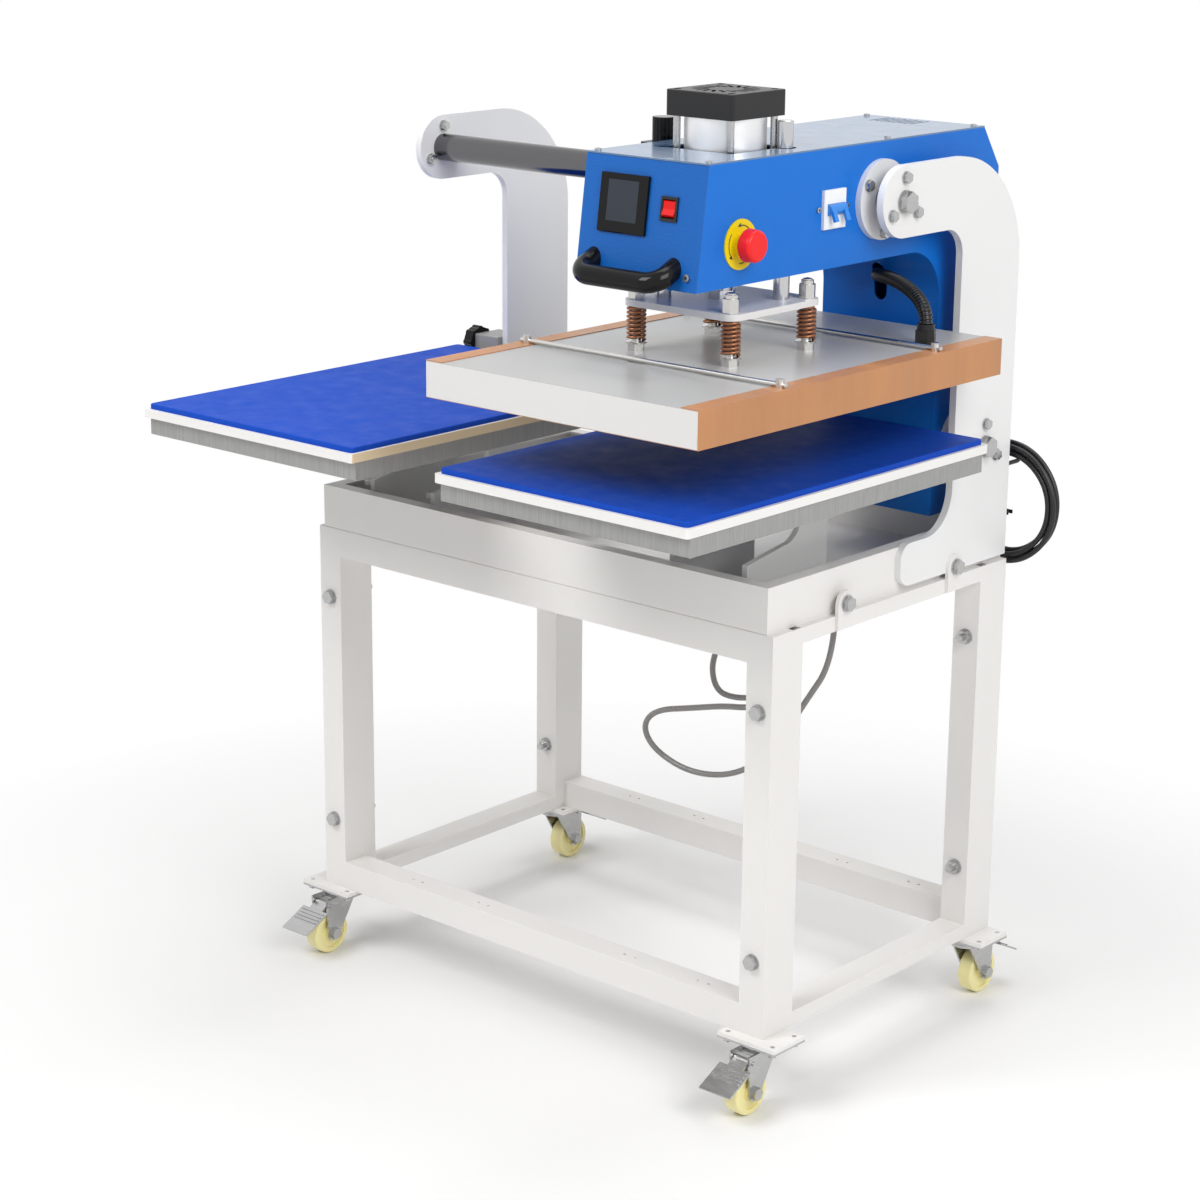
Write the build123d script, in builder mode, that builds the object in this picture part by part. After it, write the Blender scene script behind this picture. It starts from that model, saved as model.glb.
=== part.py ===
from build123d import *
import math
import os

os.makedirs("parts", exist_ok=True)

# Dual station pneumatic heat press on a wheeled stand.
# Sizes are in millimetres, X runs along both stations, Y runs to the back and Z runs up.
# The pressing head slides along X on two shafts and rests over the right station.

# Stations
board_width = 400.0
board_length = 600.0
station_pitch = 543.0
station_x = station_pitch / 2
station_y = -206.0
pad_top = 836.0
pad_thickness = 7.0
pad_inset = 5.0
board_thickness = 11.5
platen_thickness = 24.0
platen_inset_x = 3.0
platen_inset_y = 9.0
board_top = pad_top - pad_thickness
platen_top = board_top - board_thickness
platen_bottom = platen_top - platen_thickness

# Stand
stand_width = 806.0
stand_depth = 510.0
stand_top = 634.0
leg_bottom = 99.0
tube = 40.0
tube_wall = 2.0
strip = 20.0
leg_plate_thickness = 5.0
leg_bolt_heights = (201.0, 533.0)
rail_hole_radius = 2.0
rail_hole_places = (-235.0, -107.0, 162.0, 288.0)
rail_hole_gap = 9.0

# Casters
caster_plate_x = 388.5
caster_front_y = -240.0
caster_rear_y = 223.0
caster_plate_size = (92.0, 64.0)
caster_plate_thickness = 3.0
caster_hole_spacing = (72.0, 45.0)
raceway_radius = 24.0
raceway_height = 6.0
swivel_gap = 0.3
wheel_radius = 31.5
wheel_width = 22.0
wheel_trail = 30.0
hub_radius = 12.0
hub_width = 25.0
axle_radius = 5.0
running_gap = 0.05
fork_gap = 27.0
cheek_thickness = 3.0
fork_front = 22.0
crown_thickness = 4.0
pedal_width = 50.0
pedal_sheet = 2.5
pedal_tip = (92.0, 46.0)
pedal_pivot = (36.0, 74.0)
pedal_pin_radius = 3.0
fork_outer = fork_gap / 2 + cheek_thickness

# The stand's centre is set so that the part's own origin lies under the middle of its box.
heater_width = 424.0
heater_length = 602.0
rear_reach = caster_rear_y + pedal_tip[0] + 2.0
front_reach = heater_length / 2 - station_y
left_reach = station_x + board_width / 2
right_reach = station_x + heater_width / 2
stand_x = (left_reach - right_reach) / 2
stand_y = (front_reach - rear_reach) / 2

# Base tray
tray_width = 786.0
tray_height = 60.0
tray_sheet = 2.5
tray_bend = 1.2
tray_lip = 20.0
tray_top = stand_top + tray_height

# Side plates
plate_thickness = 10.0
plate_outer = stand_width / 2
plate_inner = plate_outer - plate_thickness
plate_rear = 250.0
plate_front = 118.0
plate_bottom = 642.0
lower_arm_top = 699.0
lower_arm_front = 8.0
arm_round = 45.0
plate_top_round = 148.0
arm_inner_round = 35.0
lower_inner_round = 55.0
toe_round = 21.0

# Slide shafts
shaft_radius = 19.0
upper_shaft = (-13.5, 1141.5)
lower_shaft = (189.0, 800.0)
shaft_bolt_radius = 8.0
shaft_bolt_depth = 30.0
ring_bolt_radius = 4.0
ring_bolt_circle = 30.0
hole_gap = 0.3

# Tabs that join the stand to the tray
tab_width = 34.0
tab_thickness = 5.0
tab_places = (-113.0, 127.0)
tab_bolt_height = 649.0
tab_bottom = 616.0
bolt_radius = 5.0
washer_thickness = 2.0
washer_radius = 11.0
head_height = 6.4
head_across = 17.0

# Station supports
support_thickness = 8.0
support_offset = 58.5
support_front = -222.0
support_back = -59.0
support_nose = 705.0
support_post = -115.0
support_round = 32.0

# Carriage
head_width = 186.0
casing_sheet = 3.0
head_top = 1214.0
head_bottom = 1066.0
face_top_y = -350.0
face_bottom_y = -370.0
head_back_y = 213.0
column_front = 125.0
column_back = 250.0
column_shoulder = 1159.0
column_bottom = 710.0
throat_round = 65.0
cover_sheet = 2.0
panel_sheet = 2.0
head_left = station_x - head_width / 2
head_right = station_x + head_width / 2

# Shaft bearings
flange_radius = 50.0
flange_thickness = 8.0
sleeve_radius = 26.0
sleeve_length = 46.0
flange_bolt_circle = 41.0

# Cylinder and press frame
press_y = station_y + 1.0
cylinder_square = 104.0
barrel_radius = 50.0
barrel_wall = 5.0
cylinder_base_height = 28.0
mount_plate = 12.0
cap_bottom = 1252.0
cap_height = 31.0
tie_rod_radius = 4.5
tie_rod_offset = 41.5
piston_height = 16.0
rod_radius = 12.5
post_radius = 10.0
post_offset = (57.0, 44.0)
post_tops = (1192.0, 1247.0)
bush_radius = 15.0
bush_height = 46.0
press_square = 177.0
press_thickness = 8.0
press_top = 1030.0
press_corner = 16.0
stud_offset = 74.0
stud_radius = 6.0

# Heater
heater_bottom = 921.0
heater_height = 46.0
heater_plate_thickness = 22.0
cover_wall = 1.5
sheet_thickness = 1.0
flap_width = 26.0
retaining_rod_radius = 3.0
retaining_rods_y = (-342.0, -32.0)
heater_top = heater_bottom + heater_height
nut_height = 11.0
nut_across = 19.0
spring_radius = 10.6
spring_wire = 1.9
spring_turns = 8

# Panel pieces, placed by their distance from the head's middle and down the front face
screen_size = (73.0, 70.0)
screen_place = (-27.0, 57.0)
screen_proud = 4.0
glass_size = (47.0, 49.0)
glass_shift = (-1.0, 3.0)
glass_depth = 1.0
rocker_size = (25.0, 29.0)
rocker_place = (42.5, 56.5)
rocker_proud = 2.5
handle_reach = 45.0
handle_half = 62.0
handle_offset = -6.0
handle_radius = 12.5
handle_place = 126.0

# Emergency stop, breaker and regulator
estop_place = (-289.0, 1115.0)
estop_disc_radius = 30.0
estop_disc = 1.5
estop_collar_radius = 15.0
estop_collar = 6.0
estop_travel = 4.0
mushroom_radius = 20.0
mushroom_height = 16.0
plunger_radius = 9.0
breaker_y = (-132.0, -88.5)
breaker_z = (1115.0, 1163.0)
breaker_proud = 5.0
lever_height = 1139.0
regulator_centre = (152.0, -178.0)
regulator_square = 44.0
knob_radius = 14.5
knob_top = 1239.0

# Conduit between the column and the heater
conduit_radius = 9.0
conduit_ribs = 60
conduit_rib_depth = 1.0
conduit_wall = 1.6
slot_size = (21.0, 50.0)
slot_centre = (271.5, 1012.0)
gland_place = (436.0, -5.0)
gland_radius = 12.0
gland_height = 27.0

# Side stop with its hand knob
stop_y = 121.0
stop_z = 838.0
stop_length = 46.0
stop_square = 26.0
star_radius = 23.0
star_thickness = 15.0

# Hoses and the mains lead
hose_radius = 4.0
lead_radius = 3.75
coil_centre = (388.0, 709.0)
coil_y = 264.0
coil_layer = 8.6
coil_inner = 74.0
coil_step = 8.8
hook_height = 10.0


def spot(x, y, z, turn=(0, 0, 0)):
    """A place measured from the stand's centre on the floor."""
    return Location((stand_x + x, stand_y + y, z), turn)


def side_plane(x):
    """A plane across X whose sketch axes are Y and Z."""
    return Plane(origin=(stand_x + x, stand_y, 0), x_dir=(0, 1, 0), z_dir=(1, 0, 0))


def front_plane(y):
    """A plane across Y whose sketch axes are X and Z, facing the front."""
    return Plane(origin=(stand_x, stand_y + y, 0), x_dir=(1, 0, 0), z_dir=(0, -1, 0))


def floor_plane(z):
    """A level plane whose sketch axes are X and Y."""
    return Plane(origin=(stand_x, stand_y, z))


def save(shape, label):
    shape.label = label
    export_step(shape, f"parts/{label}.step")


def save_group(pieces, label):
    """Write several separate solids as one node."""
    solids = [solid for piece in pieces for solid in piece.solids()]
    save(Compound(label=label, children=solids), label)


def hollow_beam(low, high, run, mitres=()):
    """A square tube between two corners, open along the axis numbered run."""
    size = [b - a for a, b in zip(low, high)]
    bore = [length - 2 * tube_wall for length in size]
    bore[run] = size[run]
    middle = [(a + b) / 2 for a, b in zip(low, high)]
    with BuildPart() as beam:
        with Locations(spot(*middle)):
            Box(*size)
            Box(*bore, mode=Mode.SUBTRACT)
        for mitre in mitres:
            split(bisect_by=mitre, keep=Keep.TOP)
    return beam


def hex_bolt(place, shank, length, across, height, washer, nut_gap=None):
    """A hex bolt whose head sits at the place and whose shank runs along its local -Z."""
    with BuildPart() as bolt:
        with BuildSketch(Plane.XY):
            Circle(washer)
        extrude(amount=washer_thickness)
        with BuildSketch(Plane.XY.offset(washer_thickness)):
            RegularPolygon(across / 2, 6, major_radius=False)
        extrude(amount=height)
        with Locations((0, 0, -length / 2)):
            Cylinder(shank, length)
        if nut_gap is not None:
            with BuildSketch(Plane.XY.offset(-nut_gap)):
                Circle(washer)
            extrude(amount=-washer_thickness)
            with BuildSketch(Plane.XY.offset(-nut_gap - washer_thickness)):
                RegularPolygon(across / 2, 6, major_radius=False)
            extrude(amount=-height)
    return bolt.part.moved(place)


def biarc(start, start_way, end, end_way):
    """Two arcs that meet smoothly and join two points with the given directions."""
    start, end = Vector(*start), Vector(*end)
    start_way, end_way = Vector(*start_way).normalized(), Vector(*end_way).normalized()
    span = end - start
    ways = start_way + end_way
    spread = 2 * (1 - start_way.dot(end_way))
    reach = (-span.dot(ways) + math.sqrt(span.dot(ways) ** 2 + spread * span.dot(span))) / spread
    first = start + start_way * reach
    second = end - end_way * reach
    middle = (first + second) * 0.5
    return [Edge.make_tangent_arc(start, start_way, middle),
            Edge.make_tangent_arc(end, end_way * -1, middle)]


def wound_tube(points, ways, radius):
    """One tube swept along biarcs through the points of a winding."""
    edges = []
    for index in range(len(points) - 1):
        edges += biarc(points[index], ways[index], points[index + 1], ways[index + 1])
    path = Wire(edges)
    with BuildPart() as tube_part:
        with BuildSketch(Plane(origin=points[0], z_dir=ways[0])):
            Circle(radius)
        sweep(path=path)
    return tube_part


def least_gap(points, turn_points, diameter):
    """The least distance between a winding's own turns, less the tube's diameter."""
    gap = None
    for i, first in enumerate(points):
        for second in points[i + turn_points // 2:]:
            reach = math.dist(first, second) - diameter
            gap = reach if gap is None else min(gap, reach)
    return gap


def hanging_tube(route, radius, label):
    """A hose of straight runs joined by arcs as large as the runs allow."""
    points = [Vector(stand_x + x, stand_y + y, z) for x, y, z in route]
    radii = []
    for before, corner, after in zip(points, points[1:], points[2:]):
        turn = math.radians((corner - before).get_angle(after - corner))
        shorter = min((corner - before).length, (after - corner).length)
        radii.append(0.45 * shorter / math.tan(turn / 2))
    with BuildPart() as hose:
        with BuildLine() as line:
            path = FilletPolyline(*points, radius=radii)
        with BuildSketch(Plane(origin=points[0], z_dir=points[1] - points[0])):
            Circle(radius)
        sweep(path=line.wires()[0])
    length = line.wires()[0].length
    ideal = math.pi * radius ** 2 * length
    print(label, "length", round(length), "volume share", round(hose.part.volume / ideal, 4))
    print(label, "bend radii", [round(r) for r in radii])
    return hose


# Front and rear frames: two legs, a mitred top rail, a bottom rail and two leg plates each
half_width = stand_width / 2
half_depth = stand_depth / 2
inner_leg = half_width - tube
plate_level = leg_bottom - leg_plate_thickness / 2
for label, outer_y, caster_y in (("front_frame", -half_depth, caster_front_y),
                                 ("rear_frame", half_depth, caster_rear_y)):
    low_y = min(outer_y, outer_y - math.copysign(tube, outer_y))
    high_y = low_y + tube
    pieces = []
    for side in (-1, 1):
        corner = (stand_x + side * half_width, stand_y, stand_top)
        below = Plane(origin=corner, x_dir=(0, 1, 0), z_dir=(side, 0, -1))
        low_x = min(side * half_width, side * inner_leg)
        leg = hollow_beam((low_x, low_y, leg_bottom), (low_x + tube, high_y, stand_top), 2, (below,))
        with BuildPart() as drilled_leg:
            add(leg.part)
            for height in leg_bolt_heights:
                with Locations(spot(low_x + tube / 2, (low_y + high_y) / 2, height, (90, 0, 0))):
                    Cylinder(bolt_radius + hole_gap, 2 * tube, mode=Mode.SUBTRACT)
        pieces.append(drilled_leg.part)
        with BuildPart() as leg_plate:
            with Locations(spot(side * caster_plate_x, caster_y, plate_level)):
                Box(*caster_plate_size, leg_plate_thickness)
                with GridLocations(*caster_hole_spacing, 2, 2):
                    Cylinder(bolt_radius * 0.6 + hole_gap, 2 * leg_plate_thickness, mode=Mode.SUBTRACT)
        pieces.append(leg_plate.part)
    above = [Plane(origin=(stand_x + side * half_width, stand_y, stand_top), x_dir=(0, 1, 0),
                   z_dir=(-side, 0, 1)) for side in (-1, 1)]
    pieces.append(hollow_beam((-half_width, low_y, stand_top - tube),
                              (half_width, high_y, stand_top), 0, above).part)
    bottom_rail = hollow_beam((-inner_leg, low_y, leg_bottom), (inner_leg, high_y, leg_bottom + tube), 0)
    with BuildPart() as drilled_rail:
        add(bottom_rail.part)
        for x in rail_hole_places:
            for shift in (-rail_hole_gap, rail_hole_gap):
                with Locations(spot(x + shift, (low_y + high_y) / 2, leg_bottom + tube)):
                    Cylinder(rail_hole_radius, 3 * tube_wall, mode=Mode.SUBTRACT)
    pieces.append(drilled_rail.part)
    save_group(pieces, label)

# Side frames: two strips, a top rail and a bottom rail on each side, with two tabs
strip_front = half_depth - tube
strip_back = strip_front - strip
pieces = []
for side in (-1, 1):
    low_x = min(side * half_width, side * inner_leg)
    for end in (-1, 1):
        low_y = min(end * strip_front, end * strip_back)
        post = hollow_beam((low_x, low_y, leg_bottom), (low_x + tube, low_y + strip, stand_top), 2)
        with BuildPart() as drilled_strip:
            add(post.part)
            for height in leg_bolt_heights:
                with Locations(spot(low_x + tube / 2, low_y + strip / 2, height, (90, 0, 0))):
                    Cylinder(bolt_radius + hole_gap, 2 * strip, mode=Mode.SUBTRACT)
        pieces.append(drilled_strip.part)
    for base in (leg_bottom, stand_top - strip):
        rail_end = (low_x + tube, strip_back, base + strip)
        pieces.append(hollow_beam((low_x, -strip_back, base), rail_end, 1).part)
    for place in tab_places:
        face = half_width if side > 0 else -half_width - tab_thickness
        with BuildPart() as tab:
            with BuildSketch(side_plane(face)):
                with Locations((place, (tab_bottom + tab_bolt_height) / 2)):
                    Rectangle(tab_width, tab_bolt_height - tab_bottom)
                with Locations((place, tab_bolt_height)):
                    Circle(tab_width / 2)
                    Circle(bolt_radius + hole_gap, mode=Mode.SUBTRACT)
            extrude(amount=tab_thickness)
        pieces.append(tab.part)
save_group(pieces, "side_frames")

# Base tray: an open box of folded sheet with an inward lip
with BuildPart() as base_tray:
    with Locations(spot(0, 0, stand_top + tray_height / 2)):
        Box(tray_width, stand_depth, tray_height)
        Box(tray_width - 2 * tray_sheet, stand_depth - 2 * tray_sheet, tray_height - 2 * tray_sheet,
            mode=Mode.SUBTRACT)
    with Locations(spot(0, 0, tray_top)):
        Box(tray_width - 2 * tray_lip, stand_depth - 2 * tray_lip, 3 * tray_sheet, mode=Mode.SUBTRACT)
    for place in tab_places:
        with Locations(spot(0, place, tab_bolt_height, (0, 90, 0))):
            Cylinder(bolt_radius + hole_gap, 2 * tray_width, mode=Mode.SUBTRACT)
    long_edges = base_tray.edges().filter_by(Axis.X)
    chamfer(long_edges.filter_by_position(Axis.Z, stand_top - 0.1, stand_top + 0.1), tray_bend)
save(base_tray.part, "base_tray")

# Side plates: C-shaped plates that carry both shafts
arm_top = upper_shaft[1] + arm_round
arm_under = upper_shaft[1] - arm_round
for label, low_x in (("left_side_plate", -plate_outer), ("right_side_plate", plate_inner)):
    with BuildPart() as side_plate:
        with BuildSketch(side_plane(low_x)):
            with BuildLine():
                Line((upper_shaft[0], arm_top), (plate_rear - plate_top_round, arm_top))
                RadiusArc((plate_rear - plate_top_round, arm_top),
                          (plate_rear, arm_top - plate_top_round), plate_top_round)
                Line((plate_rear, arm_top - plate_top_round), (plate_rear, plate_bottom))
                Line((plate_rear, plate_bottom), (lower_arm_front + toe_round, plate_bottom))
                RadiusArc((lower_arm_front + toe_round, plate_bottom),
                          (lower_arm_front, plate_bottom + toe_round), toe_round)
                Line((lower_arm_front, plate_bottom + toe_round),
                     (lower_arm_front, lower_arm_top - toe_round))
                RadiusArc((lower_arm_front, lower_arm_top - toe_round),
                          (lower_arm_front + toe_round, lower_arm_top), toe_round)
                Line((lower_arm_front + toe_round, lower_arm_top),
                     (plate_front - lower_inner_round, lower_arm_top))
                RadiusArc((plate_front - lower_inner_round, lower_arm_top),
                          (plate_front, lower_arm_top + lower_inner_round), -lower_inner_round)
                Line((plate_front, lower_arm_top + lower_inner_round),
                     (plate_front, arm_under - arm_inner_round))
                RadiusArc((plate_front, arm_under - arm_inner_round),
                          (plate_front - arm_inner_round, arm_under), -arm_inner_round)
                Line((plate_front - arm_inner_round, arm_under), (upper_shaft[0], arm_under))
                RadiusArc((upper_shaft[0], arm_under), (upper_shaft[0] - arm_round, upper_shaft[1]),
                          arm_round)
                RadiusArc((upper_shaft[0] - arm_round, upper_shaft[1]), (upper_shaft[0], arm_top),
                          arm_round)
            make_face()
            for centre in (upper_shaft, lower_shaft):
                with Locations(centre):
                    Circle(shaft_bolt_radius + hole_gap, mode=Mode.SUBTRACT)
                    with PolarLocations(ring_bolt_circle, 3, start_angle=90):
                        Circle(ring_bolt_radius + hole_gap, mode=Mode.SUBTRACT)
            with Locations((tab_places[1], tab_bolt_height)):
                Circle(bolt_radius + hole_gap, mode=Mode.SUBTRACT)
        extrude(amount=plate_thickness)
    save(side_plate.part, label)

# Slide shafts: butt against both side plates and are bored for their end bolts
with BuildPart() as slide_shafts:
    for y, z in (upper_shaft, lower_shaft):
        with Locations(spot(0, y, z, (0, 90, 0))):
            Cylinder(shaft_radius, 2 * plate_inner)
        for side in (-1, 1):
            with Locations(spot(side * (plate_inner - shaft_bolt_depth / 2), y, z, (0, 90, 0))):
                Cylinder(shaft_bolt_radius + hole_gap, shaft_bolt_depth, mode=Mode.SUBTRACT)
save(slide_shafts.part, "slide_shafts")

# Bolts of the stand: legs to strips, tabs to tray, side plates to shafts, later also the casters
bolts = []
for side in (-1, 1):
    for height in leg_bolt_heights:
        x = side * (half_width - tube / 2)
        bolts.append(hex_bolt(spot(x, -half_depth, height, (90, 0, 0)), bolt_radius,
                              tube + strip + 16, head_across, head_height, washer_radius, tube + strip))
        bolts.append(hex_bolt(spot(x, half_depth, height, (-90, 0, 0)), bolt_radius,
                              tube + strip + 16, head_across, head_height, washer_radius, tube + strip))
    turn = (0, 90 * side, 0)
    tray_gap = half_width + tab_thickness - tray_width / 2 + tray_sheet
    for place in tab_places:
        bolts.append(hex_bolt(spot(side * (half_width + tab_thickness), place, tab_bolt_height, turn),
                              bolt_radius, tray_gap + 12, head_across, head_height, washer_radius, tray_gap))
    for y, z in (upper_shaft, lower_shaft):
        bolts.append(hex_bolt(spot(side * plate_outer, y, z, turn), shaft_bolt_radius,
                              plate_thickness + shaft_bolt_depth - 2, 24.0, 10.0, 15.0))
        for angle in (90, 210, 330):
            ring_y = y + ring_bolt_circle * math.cos(math.radians(angle))
            ring_z = z + ring_bolt_circle * math.sin(math.radians(angle))
            bolts.append(hex_bolt(spot(side * plate_outer, ring_y, ring_z, turn), ring_bolt_radius,
                                  plate_thickness + 8, 12.0, 5.0, 8.0, plate_thickness))

# Station supports: two upright brackets under each station, standing in the tray
tray_floor = stand_top + tray_sheet
with BuildPart() as station_supports:
    for station in (-1, 1):
        for shift in (-support_offset, support_offset):
            low_x = station * station_x + shift - support_thickness / 2
            with BuildSketch(side_plane(low_x)):
                with BuildLine():
                    Line((support_front, tray_floor), (support_back, tray_floor))
                    Line((support_back, tray_floor), (support_back, platen_bottom))
                    Line((support_back, platen_bottom), (support_post, platen_bottom))
                    Line((support_post, platen_bottom), (support_post, support_nose + 12 + support_round))
                    RadiusArc((support_post, support_nose + 12 + support_round),
                              (support_post - support_round, support_nose + 12), support_round)
                    Line((support_post - support_round, support_nose + 12), (support_front, support_nose))
                    Line((support_front, support_nose), (support_front, tray_floor))
                make_face()
            extrude(amount=support_thickness)
save(station_supports.part, "station_supports")

# Platens, boards and pads of both stations
with BuildPart() as platens:
    for station in (-1, 1):
        with Locations(spot(station * station_x, station_y, (platen_top + platen_bottom) / 2)):
            Box(board_width - 2 * platen_inset_x, board_length - 2 * platen_inset_y, platen_thickness)
save(platens.part, "platens")

with BuildPart() as boards:
    for station in (-1, 1):
        with Locations(spot(station * station_x, station_y, (board_top + platen_top) / 2)):
            Box(board_width, board_length, board_thickness)
    fillet(boards.edges().filter_by(Axis.Z), 4.0)
save(boards.part, "boards")

with BuildPart() as pads:
    for station in (-1, 1):
        with Locations(spot(station * station_x, station_y, (pad_top + board_top) / 2)):
            Box(board_width - 2 * pad_inset, board_length - 2 * pad_inset, pad_thickness)
    fillet(pads.edges().filter_by(Axis.Z), 6.0)
    fillet(pads.faces().filter_by(Axis.Z).group_by(Axis.Z)[-1].edges(), 2.0)
save(pads.part, "pads")

# Side stop: a block on the left plate that carries a hand knob
with BuildPart() as stop_bracket:
    with Locations(spot(-plate_outer - stop_length / 2, stop_y + stop_square / 2, stop_z)):
        Box(stop_length, 2 * stop_square, stop_square)
    with Locations(spot(-plate_outer - stop_length / 2, stop_y, stop_z, (0, 90, 0))):
        Cylinder(4.0 + running_gap, 2 * stop_length, mode=Mode.SUBTRACT)
    chamfer(stop_bracket.edges().filter_by(Axis.X), 1.0)
save(stop_bracket.part, "stop_bracket")

with BuildPart() as stop_knob:
    knob_face = -plate_outer - stop_length - 0.3
    with BuildSketch(side_plane(knob_face - star_thickness)):
        with Locations((stop_y, stop_z)):
            Circle(star_radius - 2)
            with PolarLocations(star_radius - 4.5, 8):
                Circle(4.5)
    extrude(amount=star_thickness)
    with Locations(spot(knob_face + stop_length / 2, stop_y, stop_z, (0, 90, 0))):
        Cylinder(4.0, stop_length)
save(stop_knob.part, "stop_knob")

# Carriage casing: folded sheet, open at the top and the front
casing_left = head_left + casing_sheet
inner_width = head_width - 2 * casing_sheet
face_length = math.dist((face_top_y, head_top), (face_bottom_y, head_bottom))
face_down = ((face_bottom_y - face_top_y) / face_length, (head_bottom - head_top) / face_length)
face_plane = Plane(origin=(stand_x + station_x, stand_y + face_top_y, head_top), x_dir=(1, 0, 0),
                   z_dir=(0, face_down[1], -face_down[0]))


def head_outline(top):
    """The carriage's outline seen from its side, up to the given height."""
    with BuildLine() as outline:
        top_y = face_top_y + (head_top - top) * face_down[0] / -face_down[1]
        Line((face_bottom_y, head_bottom), (column_front - throat_round, head_bottom))
        RadiusArc((column_front - throat_round, head_bottom),
                  (column_front, head_bottom - throat_round), throat_round)
        Line((column_front, head_bottom - throat_round), (column_front, column_bottom))
        Line((column_front, column_bottom), (column_back, column_bottom))
        Line((column_back, column_bottom), (column_back, column_shoulder))
        Line((column_back, column_shoulder), (head_back_y, top))
        Line((head_back_y, top), (top_y, top))
        Line((top_y, top), (face_bottom_y, head_bottom))
    return outline.line


casing_top = head_top - cover_sheet
estop_y, estop_z = estop_place
breaker_mid_y = sum(breaker_y) / 2
breaker_mid_z = sum(breaker_z) / 2
breaker_hole = (38.0, 40.0)
bush_gap = 1.0
post_places = [(station_x + side * post_offset[0], press_y + side * post_offset[1]) for side in (-1, 1)]
with BuildPart() as carriage_casing:
    with BuildSketch(side_plane(head_left)):
        add(head_outline(casing_top))
        make_face()
    extrude(amount=head_width)
    with BuildSketch(side_plane(casing_left)):
        add(head_outline(casing_top))
        make_face()
        offset(amount=-casing_sheet)
    extrude(amount=inner_width, mode=Mode.SUBTRACT)
    with Locations(spot(station_x, (face_top_y + head_back_y) / 2, casing_top)):
        Box(inner_width, head_back_y - face_top_y - 2 * casing_sheet, 8 * casing_sheet, mode=Mode.SUBTRACT)
    with BuildSketch(face_plane.offset(-panel_sheet)):
        Rectangle(2 * head_width, 4 * face_length)
    extrude(amount=10 * panel_sheet, mode=Mode.SUBTRACT)
    with BuildSketch(face_plane.offset(-panel_sheet)):
        with Locations((0, -face_length / 2)):
            Rectangle(inner_width, face_length - 2 * casing_sheet)
    extrude(amount=-4 * casing_sheet, mode=Mode.SUBTRACT)
    for y, z in (upper_shaft, lower_shaft):
        with Locations(spot(station_x, y, z, (0, 90, 0))):
            Cylinder(sleeve_radius + hole_gap, 2 * head_width, mode=Mode.SUBTRACT)
            with PolarLocations(flange_bolt_circle, 3):
                Cylinder(ring_bolt_radius + hole_gap, 2 * head_width, mode=Mode.SUBTRACT)
    with Locations(spot(head_right, estop_y, estop_z, (0, 90, 0))):
        Cylinder(estop_collar_radius - 3, 4 * casing_sheet, mode=Mode.SUBTRACT)
    with Locations(spot(head_right, breaker_mid_y, breaker_mid_z)):
        Box(4 * casing_sheet, *breaker_hole, mode=Mode.SUBTRACT)
    with Locations(spot(station_x, press_y, head_bottom)):
        Cylinder(rod_radius + 4, 4 * casing_sheet, mode=Mode.SUBTRACT)
    for x, y in post_places:
        with Locations(spot(x, y, head_bottom)):
            Cylinder(bush_radius + bush_gap, 4 * casing_sheet, mode=Mode.SUBTRACT)
    with BuildSketch(front_plane(column_front - 8 * casing_sheet)):
        with Locations((slot_centre[0], slot_centre[1])):
            SlotOverall(slot_size[1], slot_size[0], rotation=90)
    extrude(amount=-11 * casing_sheet, mode=Mode.SUBTRACT)
save(carriage_casing.part, "carriage_casing")

# Front panel with its cut-outs, and the cover on top
panel_top = 2.5
handle_arms = (handle_offset - handle_half, handle_offset + handle_half)
with BuildPart() as front_panel:
    with BuildSketch(face_plane.offset(-panel_sheet)):
        with Locations((0, -(face_length + panel_top) / 2)):
            Rectangle(head_width, face_length - panel_top)
        with Locations((screen_place[0], -screen_place[1])):
            Rectangle(screen_size[0] - 8, screen_size[1] - 8, mode=Mode.SUBTRACT)
        with Locations((rocker_place[0], -rocker_place[1])):
            Rectangle(rocker_size[0] - 3, rocker_size[1] - 3, mode=Mode.SUBTRACT)
    extrude(amount=panel_sheet)
save(front_panel.part, "front_panel")

cover_hole = cylinder_square + 4
vent_pitch = 9.0
with BuildPart() as top_cover:
    with Locations(spot(station_x, (face_top_y + head_back_y) / 2, head_top - cover_sheet / 2)):
        Box(head_width, head_back_y - face_top_y, cover_sheet)
    with Locations(spot(station_x, press_y, head_top)):
        Box(cover_hole, cover_hole, 4 * cover_sheet, mode=Mode.SUBTRACT)
    for x, y in post_places:
        with Locations(spot(x, y, head_top)):
            Cylinder(post_radius + 4, 4 * cover_sheet, mode=Mode.SUBTRACT)
    with Locations(spot(station_x - 18, head_back_y - 34, head_top)):
        with GridLocations(vent_pitch, 1, 8, 1):
            Box(3.5, 44.0, 4 * cover_sheet, mode=Mode.SUBTRACT)
save(top_cover.part, "top_cover")

# Cylinder: mount plate with guide bushes, base and barrel, cap and tie rods
mount_bottom = head_bottom + casing_sheet + hole_gap
mount_top = mount_bottom + mount_plate
base_top = mount_top + cylinder_base_height
barrel_height = cap_bottom - base_top
mount_length = 170.0
with BuildPart() as cylinder_mount:
    with Locations(spot(station_x, press_y, (mount_bottom + mount_top) / 2)):
        Box(inner_width - 2 * hole_gap, mount_length, mount_plate)
        Cylinder(rod_radius + 4, 2 * mount_plate, mode=Mode.SUBTRACT)
    for x, y in post_places:
        with Locations(spot(x, y, mount_top + bush_height / 2 - mount_plate)):
            Cylinder(bush_radius, bush_height + mount_plate)
    with Locations(spot(station_x, press_y, base_top)):
        Box(cylinder_square, cylinder_square, 2 * cylinder_base_height, mode=Mode.SUBTRACT)
    for x, y in post_places:
        with Locations(spot(x, y, mount_top)):
            Cylinder(post_radius + running_gap, 4 * bush_height, mode=Mode.SUBTRACT)
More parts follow.
